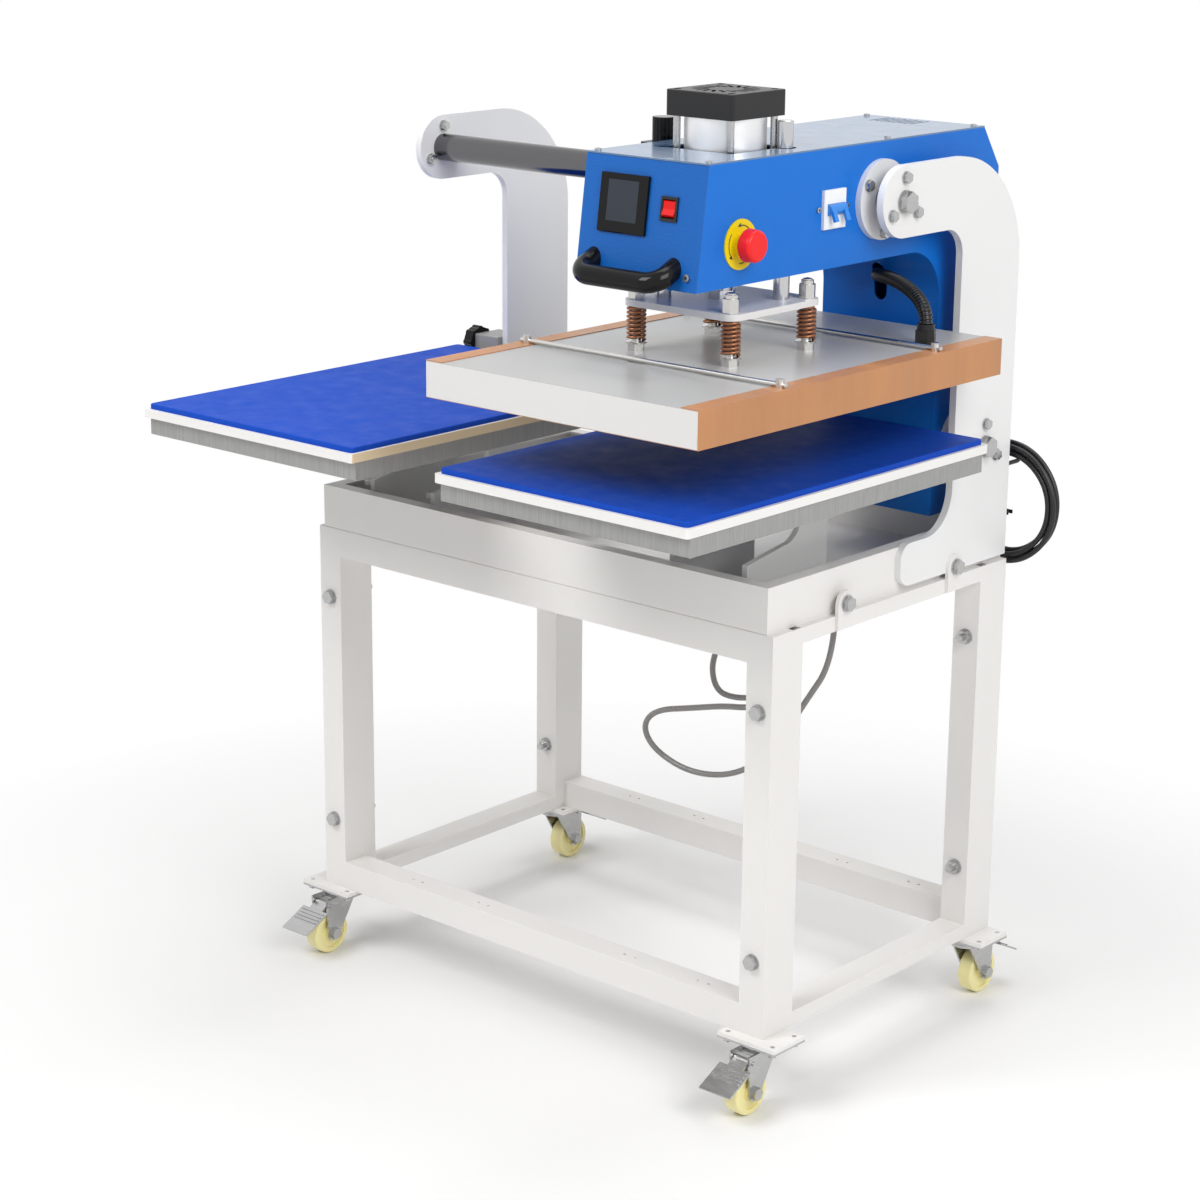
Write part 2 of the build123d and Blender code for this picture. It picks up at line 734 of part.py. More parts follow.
save(cylinder_mount.part, "cylinder_mount")

tie_places = [(station_x + a * tie_rod_offset, press_y + b * tie_rod_offset)
              for a in (-1, 1) for b in (-1, 1)]
with BuildPart() as cylinder_barrel:
    with Locations(spot(station_x, press_y, (mount_top + base_top) / 2)):
        Box(cylinder_square - 2, cylinder_square - 2, cylinder_base_height)
    with Locations(spot(station_x, press_y, (base_top + cap_bottom) / 2)):
        Cylinder(barrel_radius, barrel_height)
        Cylinder(barrel_radius - barrel_wall, barrel_height, mode=Mode.SUBTRACT)
    with Locations(spot(station_x, press_y, mount_top)):
        Cylinder(rod_radius + running_gap, 4 * cylinder_base_height, mode=Mode.SUBTRACT)
    for x, y in tie_places:
        with Locations(spot(x, y, mount_top)):
            Cylinder(tie_rod_radius, 4 * cylinder_base_height, mode=Mode.SUBTRACT)
    for x, y in post_places:
        with Locations(spot(x, y, mount_top)):
            Cylinder(bush_radius + bush_gap, 4 * cylinder_base_height, mode=Mode.SUBTRACT)
save(cylinder_barrel.part, "cylinder_barrel")

with BuildPart() as cylinder_cap:
    with Locations(spot(station_x, press_y, cap_bottom + cap_height / 2)):
        Box(cylinder_square, cylinder_square, cap_height)
    fillet(cylinder_cap.edges().filter_by(Axis.Z), 5.0)
    fillet(cylinder_cap.faces().sort_by(Axis.Z)[-1].edges(), 1.5)
    with BuildSketch(floor_plane(cap_bottom + cap_height)):
        with Locations((station_x, press_y)):
            with PolarLocations(31.0, 18):
                SlotOverall(22.0, 5.0, rotation=25)
    extrude(amount=-4.0, mode=Mode.SUBTRACT)
    with BuildSketch(floor_plane(cap_bottom + cap_height)):
        for x, y in tie_places:
            with Locations((x, y)):
                Circle(5.0)
    extrude(amount=-6.0, mode=Mode.SUBTRACT)
    for x, y in tie_places:
        with Locations(spot(x, y, cap_bottom)):
            Cylinder(tie_rod_radius, 2 * cap_height, mode=Mode.SUBTRACT)
save(cylinder_cap.part, "cylinder_cap")

# Shaft bearings: flanged sleeves on both faces of the carriage
with BuildPart() as bearing_flanges:
    for y, z in (upper_shaft, lower_shaft):
        for side in (-1, 1):
            face = station_x + side * head_width / 2
            with Locations(spot(face + side * flange_thickness / 2, y, z, (0, 90, 0))):
                Cylinder(flange_radius, flange_thickness)
                with PolarLocations(flange_bolt_circle, 3):
                    Cylinder(ring_bolt_radius + hole_gap, 2 * flange_thickness, mode=Mode.SUBTRACT)
            with Locations(spot(face - side * sleeve_length / 2, y, z, (0, 90, 0))):
                Cylinder(sleeve_radius, sleeve_length)
            with Locations(spot(face, y, z, (0, 90, 0))):
                Cylinder(shaft_radius + running_gap, 3 * sleeve_length, mode=Mode.SUBTRACT)
save(bearing_flanges.part, "bearing_flanges")

# Carriage fasteners: flange bolts, cover screws, tie rods with nuts and the breaker's screws
fasteners = []
flange_face = head_width / 2 + flange_thickness
for y, z in (upper_shaft, lower_shaft):
    for side in (-1, 1):
        for angle in (30, 150, 270):
            bolt_y = y + flange_bolt_circle * math.cos(math.radians(angle))
            bolt_z = z + flange_bolt_circle * math.sin(math.radians(angle))
            grip = flange_thickness + casing_sheet
            fasteners.append(hex_bolt(spot(station_x + side * flange_face, bolt_y, bolt_z, (0, 90 * side, 0)),
                                      ring_bolt_radius, grip + 8, 12.0, 4.0, 7.5, grip))
cover_screws = [(head_left + 8, face_top_y + 10), (head_right - 8, face_top_y + 10),
                (head_left + 8, 10.0), (head_right - 8, 10.0),
                (head_left + 8, head_back_y - 14), (head_right - 8, head_back_y - 14)]
with BuildPart() as cover_screw_heads:
    for x, y in cover_screws:
        with Locations(spot(x, y, head_top + 1.25)):
            Cylinder(4.0, 2.5)
            Cylinder(1.6, 3.0, mode=Mode.SUBTRACT)
fasteners.append(cover_screw_heads.part)
with BuildPart() as tie_rods:
    for x, y in tie_places:
        with Locations(spot(x, y, (mount_top + 1 + cap_bottom + cap_height - 6) / 2)):
            Cylinder(tie_rod_radius, cap_bottom + cap_height - 6 - mount_top - 1)
fasteners.append(tie_rods.part)
with BuildPart() as panel_screw:
    with Locations(face_plane * Location((78.7, -132.8, 1.5))):
        Cylinder(4.5, 3.0)
        Cylinder(1.8, 5.0, mode=Mode.SUBTRACT)
fasteners.append(panel_screw.part)
with BuildPart() as breaker_screws:
    for y in (breaker_y[0] - 7.5, breaker_y[1] + 6.5):
        with Locations(spot(head_right + 1.25, y, lever_height + 1, (0, 90, 0))):
            Cylinder(3.5, 2.5)
            Cylinder(1.4, 3.0, mode=Mode.SUBTRACT)
fasteners.append(breaker_screws.part)
save_group(fasteners, "carriage_fasteners")

# Handle: a bent bar whose ends meet the front panel
handle_drop = 24.0
handle_corner = 20.0
start_y = face_top_y + handle_place * face_down[0]
start_z = head_top + handle_place * face_down[1]
reach_y = -math.cos(math.radians(handle_drop))
reach_z = -math.sin(math.radians(handle_drop))
behind = 12.0
handle_points = []
for x, reach in ((handle_arms[0], -behind), (handle_arms[0], handle_reach - handle_radius),
                 (handle_arms[1], handle_reach - handle_radius), (handle_arms[1], -behind)):
    handle_points.append((stand_x + station_x + x, stand_y + start_y + reach * reach_y,
                          start_z + reach * reach_z))
with BuildPart() as handle:
    with BuildLine() as handle_line:
        FilletPolyline(*handle_points, radius=handle_corner)
    with BuildSketch(Plane(origin=handle_points[0], z_dir=(0, reach_y, reach_z))):
        Circle(handle_radius)
    sweep(path=handle_line.wires()[0])
    split(bisect_by=face_plane, keep=Keep.TOP)
save(handle.part, "handle")

# Screen and power switch
with BuildPart() as screen:
    with BuildSketch(face_plane):
        with Locations((screen_place[0], -screen_place[1])):
            Rectangle(*screen_size)
    extrude(amount=screen_proud)
    chamfer(screen.faces().sort_by(Axis.Y)[0].edges(), 1.2)
    with BuildSketch(face_plane.offset(-30)):
        with Locations((screen_place[0], -screen_place[1])):
            Rectangle(screen_size[0] - 9, screen_size[1] - 9)
    extrude(amount=30)
    with BuildSketch(face_plane.offset(screen_proud)):
        with Locations((screen_place[0] + glass_shift[0], -screen_place[1] + glass_shift[1])):
            Rectangle(*glass_size)
    extrude(amount=-glass_depth, mode=Mode.SUBTRACT)
save(screen.part, "screen")

rocker_well = (19.0, 22.0)
rocker_depth = 16.0
with BuildPart() as rocker_frame:
    with BuildSketch(face_plane):
        with Locations((rocker_place[0], -rocker_place[1])):
            Rectangle(*rocker_size)
    extrude(amount=rocker_proud)
    with BuildSketch(face_plane.offset(-rocker_depth - 2)):
        with Locations((rocker_place[0], -rocker_place[1])):
            Rectangle(rocker_size[0] - 3.6, rocker_size[1] - 3.6)
    extrude(amount=rocker_depth + 2)
    with BuildSketch(face_plane.offset(-rocker_depth)):
        with Locations((rocker_place[0], -rocker_place[1])):
            Rectangle(*rocker_well)
    extrude(amount=rocker_depth + rocker_proud, mode=Mode.SUBTRACT)
save(rocker_frame.part, "rocker_frame")

rocker_pivot = 4.0
rocker_round = 10.6
rocker_slope = 20.0
rocker_origin = face_plane.from_local_coords((rocker_place[0], -rocker_place[1], -rocker_pivot))
rocker_plane = Plane(origin=rocker_origin, x_dir=face_plane.y_dir, z_dir=face_plane.x_dir)
rocker_high = (-14.0, 5.6 + 14.0 * math.tan(math.radians(rocker_slope)))
with BuildPart() as rocker:
    with BuildSketch(rocker_plane.offset(-rocker_well[0] / 2 + 0.4)):
        Circle(rocker_round)
        with BuildLine():
            Polyline(rocker_high, (0, 5.6), (14.0, 5.6), (14.0, -14.0), (-14.0, -14.0), rocker_high)
        make_face(mode=Mode.INTERSECT)
    extrude(amount=rocker_well[0] - 0.8)
save(rocker.part, "rocker")

# Emergency stop: disc and collar on the casing, mushroom on its plunger
with BuildPart() as estop_housing:
    with BuildSketch(side_plane(head_right)):
        with Locations((estop_y, estop_z)):
            Circle(estop_disc_radius)
    extrude(amount=estop_disc)
    with BuildSketch(side_plane(head_right - 30)):
        with Locations((estop_y, estop_z)):
            Circle(estop_collar_radius - 3 - hole_gap)
    extrude(amount=30)
    with BuildSketch(side_plane(head_right + estop_disc)):
        with Locations((estop_y, estop_z)):
            Circle(estop_collar_radius)
    extrude(amount=estop_collar)
    with BuildSketch(side_plane(head_right - 20)):
        with Locations((estop_y, estop_z)):
            Circle(plunger_radius + running_gap)
    extrude(amount=40, mode=Mode.SUBTRACT)
save(estop_housing.part, "estop_housing")

mushroom_x = head_right + estop_disc + estop_collar + estop_travel + 1.0
with BuildPart() as estop_button:
    with BuildSketch(side_plane(mushroom_x)):
        with Locations((estop_y, estop_z)):
            Circle(mushroom_radius)
    extrude(amount=mushroom_height, taper=4)
    fillet(estop_button.faces().sort_by(Axis.X)[-1].edges(), 5.0)
    with BuildSketch(side_plane(head_right - 12)):
        with Locations((estop_y, estop_z)):
            Circle(plunger_radius)
    extrude(amount=mushroom_x - head_right + 12)
save(estop_button.part, "estop_button")

# Circuit breaker with its linked levers
drum_radius = 7.0
drum_x = head_right + breaker_proud - 1.0
lever_y = (breaker_y[0] + 6, breaker_y[1] - 4)
with BuildPart() as breaker:
    with Locations(spot(head_right + breaker_proud / 2, breaker_mid_y, breaker_mid_z)):
        Box(breaker_proud, breaker_y[1] - breaker_y[0], breaker_z[1] - breaker_z[0])
    chamfer(breaker.faces().sort_by(Axis.X)[-1].edges(), 1.0)
    with Locations(spot(head_right - 14, breaker_mid_y, breaker_mid_z)):
        Box(28.0, breaker_hole[0] - 1, breaker_hole[1] - 1)
    with Locations(spot(drum_x, sum(lever_y) / 2, lever_height, (90, 0, 0))):
        Cylinder(drum_radius + hole_gap, lever_y[1] - lever_y[0] + 2 * hole_gap, mode=Mode.SUBTRACT)
save(breaker.part, "breaker")

lever_long = 17.0
lever_lean = 68.0
with BuildPart() as breaker_lever:
    with Locations(spot(drum_x, sum(lever_y) / 2, lever_height, (90, 0, 0))):
        Cylinder(drum_radius, lever_y[1] - lever_y[0])
    for y in (lever_y[0] + 5.0, lever_y[1] - 5.0):
        with Locations(spot(drum_x, y, lever_height, (0, lever_lean, 0))):
            with Locations((lever_long / 2, 0, drum_radius - 2.0)):
                Box(lever_long, 7.0, 4.0)
save(breaker_lever.part, "breaker_lever")

# Air regulator on the head's left face, with its knob
reg_x, reg_y = regulator_centre
reg_top = 1208.0
reg_bottom = 1152.0
bowl_bottom = 1092.0
with BuildPart() as regulator_body:
    with Locations(spot(reg_x, reg_y, (reg_top + reg_bottom) / 2)):
        Box(regulator_square, regulator_square, reg_top - reg_bottom)
    chamfer(regulator_body.edges().filter_by(Axis.Z), 4.0)
    with Locations(spot(reg_x, reg_y, (reg_bottom + bowl_bottom) / 2)):
        Cylinder(18.0, reg_bottom - bowl_bottom)
    fillet(regulator_body.faces().sort_by(Axis.Z)[0].edges(), 8.0)
    with Locations(spot((reg_x + head_left) / 2, reg_y, reg_bottom + 26)):
        Box(head_left - reg_x, 24.0, 24.0)
    with Locations(spot(reg_x, reg_y, reg_top)):
        Cylinder(5.0 + running_gap, 30.0, mode=Mode.SUBTRACT)
save(regulator_body.part, "regulator_body")

with BuildPart() as regulator_knob:
    with BuildSketch(floor_plane(reg_top + hole_gap)):
        with Locations((reg_x, reg_y)):
            Circle(knob_radius)
            with PolarLocations(knob_radius + 0.6, 18):
                Circle(1.3, mode=Mode.SUBTRACT)
    extrude(amount=knob_top - reg_top - hole_gap)
    fillet(regulator_knob.faces().sort_by(Axis.Z)[-1].edges(), 1.0)
    with Locations(spot(reg_x, reg_y, reg_top - 5)):
        Cylinder(5.0, 16.0)
save(regulator_knob.part, "regulator_knob")

# Press frame: plate, piston rod with its piston and nuts, and guide posts
stud_places = [(station_x + a * stud_offset, press_y + b * stud_offset) for a in (-1, 1) for b in (-1, 1)]
press_bottom = press_top - press_thickness
rod_thread = 9.0
post_thread = 6.0
with BuildPart() as press_plate:
    with Locations(spot(station_x, press_y, (press_top + press_bottom) / 2)):
        Box(press_square, press_square, press_thickness)
    fillet(press_plate.edges().filter_by(Axis.Z), press_corner)
    for x, y in stud_places:
        with Locations(spot(x, y, press_top)):
            Cylinder(stud_radius + running_gap, 4 * press_thickness, mode=Mode.SUBTRACT)
    for x, y in post_places:
        with Locations(spot(x, y, press_top)):
            Cylinder(post_thread, 4 * press_thickness, mode=Mode.SUBTRACT)
    with Locations(spot(station_x, press_y, press_top)):
        Cylinder(rod_thread, 4 * press_thickness, mode=Mode.SUBTRACT)
save(press_plate.part, "press_plate")

piston_top = cap_bottom - hole_gap
rod_nut = 30.0
with BuildPart() as piston_rod:
    with Locations(spot(station_x, press_y, (press_top + piston_top) / 2)):
        Cylinder(rod_radius, piston_top - press_top)
    with Locations(spot(station_x, press_y, press_bottom)):
        Cylinder(rod_thread, 2 * press_thickness)
    with BuildSketch(floor_plane(press_top)):
        with Locations((station_x, press_y)):
            RegularPolygon(rod_nut / 2, 6, major_radius=False)
    extrude(amount=nut_height)
    with BuildSketch(floor_plane(press_bottom)):
        with Locations((station_x, press_y)):
            RegularPolygon(rod_nut / 2, 6, major_radius=False)
    extrude(amount=-nut_height)
    with Locations(spot(station_x, press_y, piston_top - piston_height / 2)):
        Cylinder(barrel_radius - barrel_wall - running_gap, piston_height)
save(piston_rod.part, "piston_rod")

with BuildPart() as guide_posts:
    for (x, y), post_top in zip(post_places, post_tops):
        with Locations(spot(x, y, (press_top + post_top) / 2)):
            Cylinder(post_radius, post_top - press_top)
        chamfer(guide_posts.faces().sort_by(Axis.Z)[-1].edges(), 1.0)
        with Locations(spot(x, y, press_top - press_thickness / 2)):
            Cylinder(post_thread, press_thickness)
        with Locations(spot(x, y, press_bottom - 3)):
            Cylinder(9.0, 6.0)
save(guide_posts.part, "guide_posts")

# Heater: plate, hood, the sheet wrapped round it, studs with nuts and the rods that hold the sheet
plate_top = heater_bottom + sheet_thickness + heater_plate_thickness
hood_top = heater_top - sheet_thickness
heater_y = press_y
body_width = heater_width - 2 * sheet_thickness
with BuildPart() as heater_plate:
    with Locations(spot(station_x, heater_y, (heater_bottom + sheet_thickness + plate_top) / 2)):
        Box(body_width, heater_length, heater_plate_thickness)
save(heater_plate.part, "heater_plate")

with BuildPart() as heater_cover:
    with Locations(spot(station_x, heater_y, (plate_top + hood_top) / 2)):
        Box(body_width, heater_length, hood_top - plate_top)
    with Locations(spot(station_x, heater_y, (plate_top + hood_top) / 2 - cover_wall)):
        Box(body_width - 2 * cover_wall, heater_length - 2 * cover_wall, hood_top - plate_top,
            mode=Mode.SUBTRACT)
save(heater_cover.part, "heater_cover")

with BuildPart() as ptfe_sheet:
    with Locations(spot(station_x, heater_y, (heater_bottom + heater_top) / 2)):
        Box(heater_width, heater_length - 2, heater_height)
        Box(body_width, heater_length, heater_height - 2 * sheet_thickness, mode=Mode.SUBTRACT)
    with Locations(spot(station_x, heater_y, heater_top)):
        Box(heater_width - 2 * flap_width, heater_length, 4 * sheet_thickness, mode=Mode.SUBTRACT)
save(ptfe_sheet.part, "ptfe_sheet")

stud_top = press_top + 24.0
spring_seat = hood_top + nut_height
heater_pieces = []
with BuildPart() as heater_fasteners:
    for x, y in stud_places:
        with Locations(spot(x, y, (hood_top + stud_top) / 2)):
            Cylinder(stud_radius, stud_top - hood_top)
        with BuildSketch(floor_plane(hood_top)):
            with Locations((x, y)):
                RegularPolygon(nut_across / 2, 6, major_radius=False)
        extrude(amount=nut_height - 2)
        with BuildSketch(floor_plane(spring_seat - 2)):
            with Locations((x, y)):
                Circle(13.0)
        extrude(amount=2)
        with BuildSketch(floor_plane(press_top + hole_gap)):
            with Locations((x, y)):
                RegularPolygon(nut_across / 2, 6, major_radius=False)
        extrude(amount=nut_height)
        with BuildSketch(floor_plane(press_top + hole_gap + nut_height)):
            with Locations((x, y)):
                RegularPolygon(nut_across / 2, 6, major_radius=False)
        extrude(amount=6)
        with Locations(spot(x, y, press_top + hole_gap + nut_height + 6)):
            Cylinder(8.0, 5.0, align=(Align.CENTER, Align.CENTER, Align.MIN))
            Sphere(8.0)
heater_pieces.append(heater_fasteners.part)
with BuildPart() as retaining_rods:
    for y in retaining_rods_y:
        with Locations(spot(station_x, y, heater_top + retaining_rod_radius + hole_gap, (0, 90, 0))):
            Cylinder(retaining_rod_radius, heater_width - 10)
        for side in (-1, 1):
            with Locations(spot(station_x + side * (heater_width / 2 - 14), y, heater_top + 5)):
                Cylinder(5.0, 10.0)
heater_pieces.append(retaining_rods.part)
save_group(heater_pieces, "heater_fasteners")

gland_x, gland_y = gland_place
with BuildPart() as heater_gland:
    with BuildSketch(floor_plane(hood_top)):
        with Locations((gland_x, gland_y)):
            RegularPolygon(gland_radius + 1, 8)
    extrude(amount=gland_height - 8)
    with Locations(spot(gland_x, gland_y, hood_top + gland_height / 2)):
        Cylinder(gland_radius - 1, gland_height)
    with Locations(spot(gland_x, gland_y, hood_top + gland_height)):
        Cylinder(conduit_radius + hole_gap, 2 * (gland_height - 6), mode=Mode.SUBTRACT)
save(heater_gland.part, "heater_gland")

# Springs between the heater's nuts and the press plate
spring_low = spring_seat + spring_wire + hole_gap
spring_high = press_bottom - spring_wire - hole_gap
spring_steps = 4 * spring_turns
spring_rise = (spring_high - spring_low) / spring_steps
springs = []
for x, y in stud_places:
    points = []
    ways = []
    for step in range(spring_steps + 1):
        angle = math.pi / 2 * step
        points.append((stand_x + x + spring_radius * math.cos(angle),
                       stand_y + y + spring_radius * math.sin(angle), spring_low + spring_rise * step))
        ways.append((-math.sin(angle), math.cos(angle), spring_rise / (spring_radius * math.pi / 2)))
    springs.append(wound_tube(points, ways, spring_wire).part)
print("spring gap", round(least_gap(points, 4, 2 * spring_wire), 2))
save_group(springs, "press_springs")

# Ribbed conduit from the column's slot to the gland on the heater
conduit_start = (slot_centre[0], 137.0, 1015.0)
conduit_lead_out = (slot_centre[0], 60.0, 1034.0)
conduit_lead_in = (gland_x, gland_y + 5, 1055.0)
conduit_end = (gland_x, gland_y, hood_top + gland_height)
conduit_tail = 15.0
rib_profile = ((0.0, conduit_radius - conduit_rib_depth), (0.2, conduit_radius),
               (0.6, conduit_radius), (0.8, conduit_radius - conduit_rib_depth))
conduit_points = [Vector(stand_x + x, stand_y + y, z)
                  for x, y, z in (conduit_start, conduit_lead_out, conduit_lead_in, conduit_end)]
inside_point = conduit_points[0] - (conduit_points[1] - conduit_points[0]).normalized() * conduit_tail
gland_point = conduit_points[3] - Vector(0, 0, 1) * conduit_tail
with BuildLine() as conduit_line:
    Line(inside_point, conduit_points[0])
    Bezier(*conduit_points)
    Line(conduit_points[3], gland_point)
conduit_path = conduit_line.wires()[0]
steady = Vector(1, 1, 0.5)


def ring_plane(share):
    """A plane across the conduit whose X axis stays steady along its run."""
    along = conduit_path.tangent_at(share)
    across_way = (steady - along * steady.dot(along)).normalized()
    return Plane(origin=conduit_path.position_at(share), x_dir=across_way, z_dir=along)


rings = [((rib + part) / conduit_ribs, size) for rib in range(conduit_ribs) for part, size in rib_profile]
rings.append((1.0, conduit_radius - conduit_rib_depth))
with BuildPart() as conduit:
    for share, size in rings:
        with BuildSketch(ring_plane(share)):
            Circle(size)
    loft(ruled=True)
    with BuildSketch(ring_plane(0.0)):
        Circle(conduit_radius - conduit_rib_depth - conduit_wall)
    sweep(path=conduit_path, mode=Mode.SUBTRACT)
print("conduit length", round(conduit_path.length), "volume", round(conduit.part.volume))
save(conduit.part, "conduit")

# Casters: plate and kingpin on the stand, fork, wheel and brake pedal
plate_low = leg_bottom - leg_plate_thickness
race_low = plate_low - caster_plate_thickness - raceway_height
crown_top = race_low - swivel_gap
kingpin_radius = 6.0
kingpin_head = 9.0
kingpin_head_height = 3.0
crown_low = crown_top - crown_thickness
pivot_u, pivot_z = pedal_pivot
mounts = []
for name, side, way in (("front_left", -1, -1), ("front_right", 1, -1),
                        ("rear_left", -1, 1), ("rear_right", 1, 1)):
    caster_y = caster_rear_y if way > 0 else caster_front_y
    ground = spot(side * caster_plate_x, caster_y, 0, (0, 0, 90 - 90 * way))
    across = Plane(origin=(stand_x + side * caster_plate_x, stand_y + caster_y, 0), x_dir=(0, way, 0),
                   z_dir=(way, 0, 0))
    with BuildPart() as caster_mount:
        with Locations(ground * Location((0, 0, plate_low - caster_plate_thickness / 2))):
            Box(*caster_plate_size, caster_plate_thickness)
        with Locations(ground * Location((0, 0, race_low + raceway_height / 2))):
            Cylinder(raceway_radius, raceway_height)
        with Locations(ground * Location((0, 0, (race_low + crown_low - swivel_gap) / 2))):
            Cylinder(kingpin_radius, race_low - crown_low + swivel_gap)
        with Locations(ground * Location((0, 0, crown_low - swivel_gap - kingpin_head_height / 2))):
            Cylinder(kingpin_head, kingpin_head_height)
        with Locations(ground * Location((0, 0, plate_low - caster_plate_thickness))):
            with GridLocations(*caster_hole_spacing, 2, 2):
                Cylinder(bolt_radius * 0.6 + hole_gap, 4 * caster_plate_thickness, mode=Mode.SUBTRACT)
    mounts.append(caster_mount.part)
    bolt_grip = caster_plate_thickness + leg_plate_thickness
    for dx in (-caster_hole_spacing[0] / 2, caster_hole_spacing[0] / 2):
        for dy in (-caster_hole_spacing[1] / 2, caster_hole_spacing[1] / 2):
            place = ground * Location((dx, dy, plate_low - caster_plate_thickness), (180, 0, 0))
            bolts.append(hex_bolt(place, bolt_radius * 0.6, bolt_grip, 10.0, 3.0, 6.0))
    with BuildPart() as fork:
        with Locations(ground * Location((0, 0, crown_top - crown_thickness / 2))):
            Cylinder(raceway_radius, crown_thickness)
        with Locations(ground * Location((0, 8, crown_top - crown_thickness / 2))):
            Box(2 * fork_outer, 2 * fork_front, crown_thickness)
        for cheek in (-fork_outer, fork_gap / 2):
            with BuildSketch(across.offset(cheek)):
                Polygon((-14, crown_top), (44, crown_top), (wheel_trail + 11, wheel_radius),
                        (wheel_trail - 11, wheel_radius - 2), align=None)
                with Locations((wheel_trail, wheel_radius)):
                    Circle(11.0)
            extrude(amount=cheek_thickness)
        with Locations(ground * Location((0, 0, crown_top))):
            Cylinder(kingpin_radius + running_gap, 6 * crown_thickness, mode=Mode.SUBTRACT)
        with BuildSketch(across.offset(-fork_outer)):
            with Locations((pivot_u, pivot_z)):
                Circle(pedal_pin_radius + running_gap)
        extrude(amount=2 * fork_outer, mode=Mode.SUBTRACT)
        with BuildSketch(across.offset(-fork_outer - 6)):
            with Locations((wheel_trail, wheel_radius)):
                Circle(axle_radius)
        extrude(amount=2 * fork_outer + 12)
        for end in (-fork_outer - 6, fork_outer):
            with BuildSketch(across.offset(end)):
                with Locations((wheel_trail, wheel_radius)):
                    RegularPolygon(7.5, 6, major_radius=False)
            extrude(amount=6)
    save(fork.part, f"fork_{name}")
    with BuildPart() as wheel:
        with BuildSketch(across.offset(-wheel_width / 2)):
            with Locations((wheel_trail, wheel_radius)):
                Circle(wheel_radius)
        extrude(amount=wheel_width)
        fillet(wheel.edges().filter_by(GeomType.CIRCLE), 3.0)
        with BuildSketch(across.offset(-hub_width / 2)):
            with Locations((wheel_trail, wheel_radius)):
                Circle(hub_radius)
        extrude(amount=hub_width)
        for face in (-wheel_width / 2, wheel_width / 2 - 3):
            with BuildSketch(across.offset(face)):
                with Locations((wheel_trail, wheel_radius)):
                    Circle(wheel_radius - 8)
                    Circle(hub_radius, mode=Mode.SUBTRACT)
            extrude(amount=3, mode=Mode.SUBTRACT)
        with BuildSketch(across.offset(-hub_width)):
            with Locations((wheel_trail, wheel_radius)):
                Circle(axle_radius + running_gap)
        extrude(amount=2 * hub_width, mode=Mode.SUBTRACT)
    save(wheel.part, f"wheel_{name}")
    tip_u, tip_z = pedal_tip
    slope = math.atan2(tip_z - pivot_z, tip_u - pivot_u)
    tread_start = 16.0
    reach = math.hypot(tip_u - pivot_u, tip_z - pivot_z)
    arm_place = ground * Location((0, pivot_u, pivot_z), (math.degrees(slope), 0, 0))
    with BuildPart() as pedal:
        with BuildSketch(across.offset(-fork_outer - 2)):
            with Locations((pivot_u, pivot_z)):
                Circle(pedal_pin_radius)
        extrude(amount=2 * fork_outer + 4)
        with BuildSketch(across.offset(-fork_gap / 2 + 1)):
            with Locations((pivot_u, pivot_z)):
                Circle(pedal_pin_radius + 2)
        extrude(amount=fork_gap - 2)
        with Locations(arm_place * Location((0, tread_start / 2 + 1, 2.5))):
            Box(fork_gap - 2, tread_start + 6, pedal_sheet)
        with Locations(arm_place * Location((0, (tread_start + reach) / 2, 2.5))):
            Box(pedal_width, reach - tread_start, pedal_sheet)
        for rib in range(4):
            with Locations(arm_place * Location((0, tread_start + 5 + rib * 6.0, 4.25))):
                Box(pedal_width - 6, 2.0, 1.5)
    save(pedal.part, f"pedal_{name}")
save_group(mounts, "caster_mounts")
save_group(bolts, "frame_bolts")

# Fittings of the hose, the mains lead and its hook
hose_end_a = (206.0, -96.0)
hose_end_c = (352.0, -60.0)
fitting_length = 14.0
lead_gland = (250.0, 665.0)
hook_y = 282.0
hook_x = plate_inner + plate_thickness / 2
hook_radius = 3.0
hook_z = coil_centre[1] + coil_inner - 8 - lead_radius - 2.2 * hook_radius
with BuildPart() as cord_fittings:
    for x, y in (hose_end_a, hose_end_c):
        with Locations(spot(x, y, stand_top - fitting_length / 2)):
            Cylinder(7.0, fitting_length)
    with Locations(spot(lead_gland[0], half_depth + fitting_length / 2, lead_gland[1], (90, 0, 0))):
        Cylinder(9.0, fitting_length)
    with BuildLine() as hook_line:
        FilletPolyline((stand_x + hook_x, stand_y + plate_rear, hook_z), (stand_x + hook_x, stand_y + hook_y, hook_z),
                       (stand_x + hook_x, stand_y + hook_y, hook_z + hook_height + 6), radius=5)
    with BuildSketch(Plane(origin=(stand_x + hook_x, stand_y + plate_rear, hook_z), z_dir=(0, 1, 0))):
        Circle(hook_radius)
    sweep(path=hook_line.wires()[0])
save(cord_fittings.part, "cord_fittings")

# Air hose under the tray
hose_route = [(hose_end_a[0], hose_end_a[1], stand_top - fitting_length), (206, -96, 570), (174, -92, 520),
              (180, -88, 478), (214, -86, 474), (262, -88, 488), (296, -116, 492), (284, -150, 492), (240, -146, 484),
              (182, -136, 466), (110, -130, 446), (82, -122, 414), (100, -116, 382), (160, -110, 362),
              (230, -100, 374), (284, -92, 420), (318, -78, 486), (hose_end_c[0], hose_end_c[1], 550),
              (hose_end_c[0], hose_end_c[1], stand_top - fitting_length)]
air_hose = hanging_tube(hose_route, hose_radius, "air_hose")
save(air_hose.part, "air_hose")

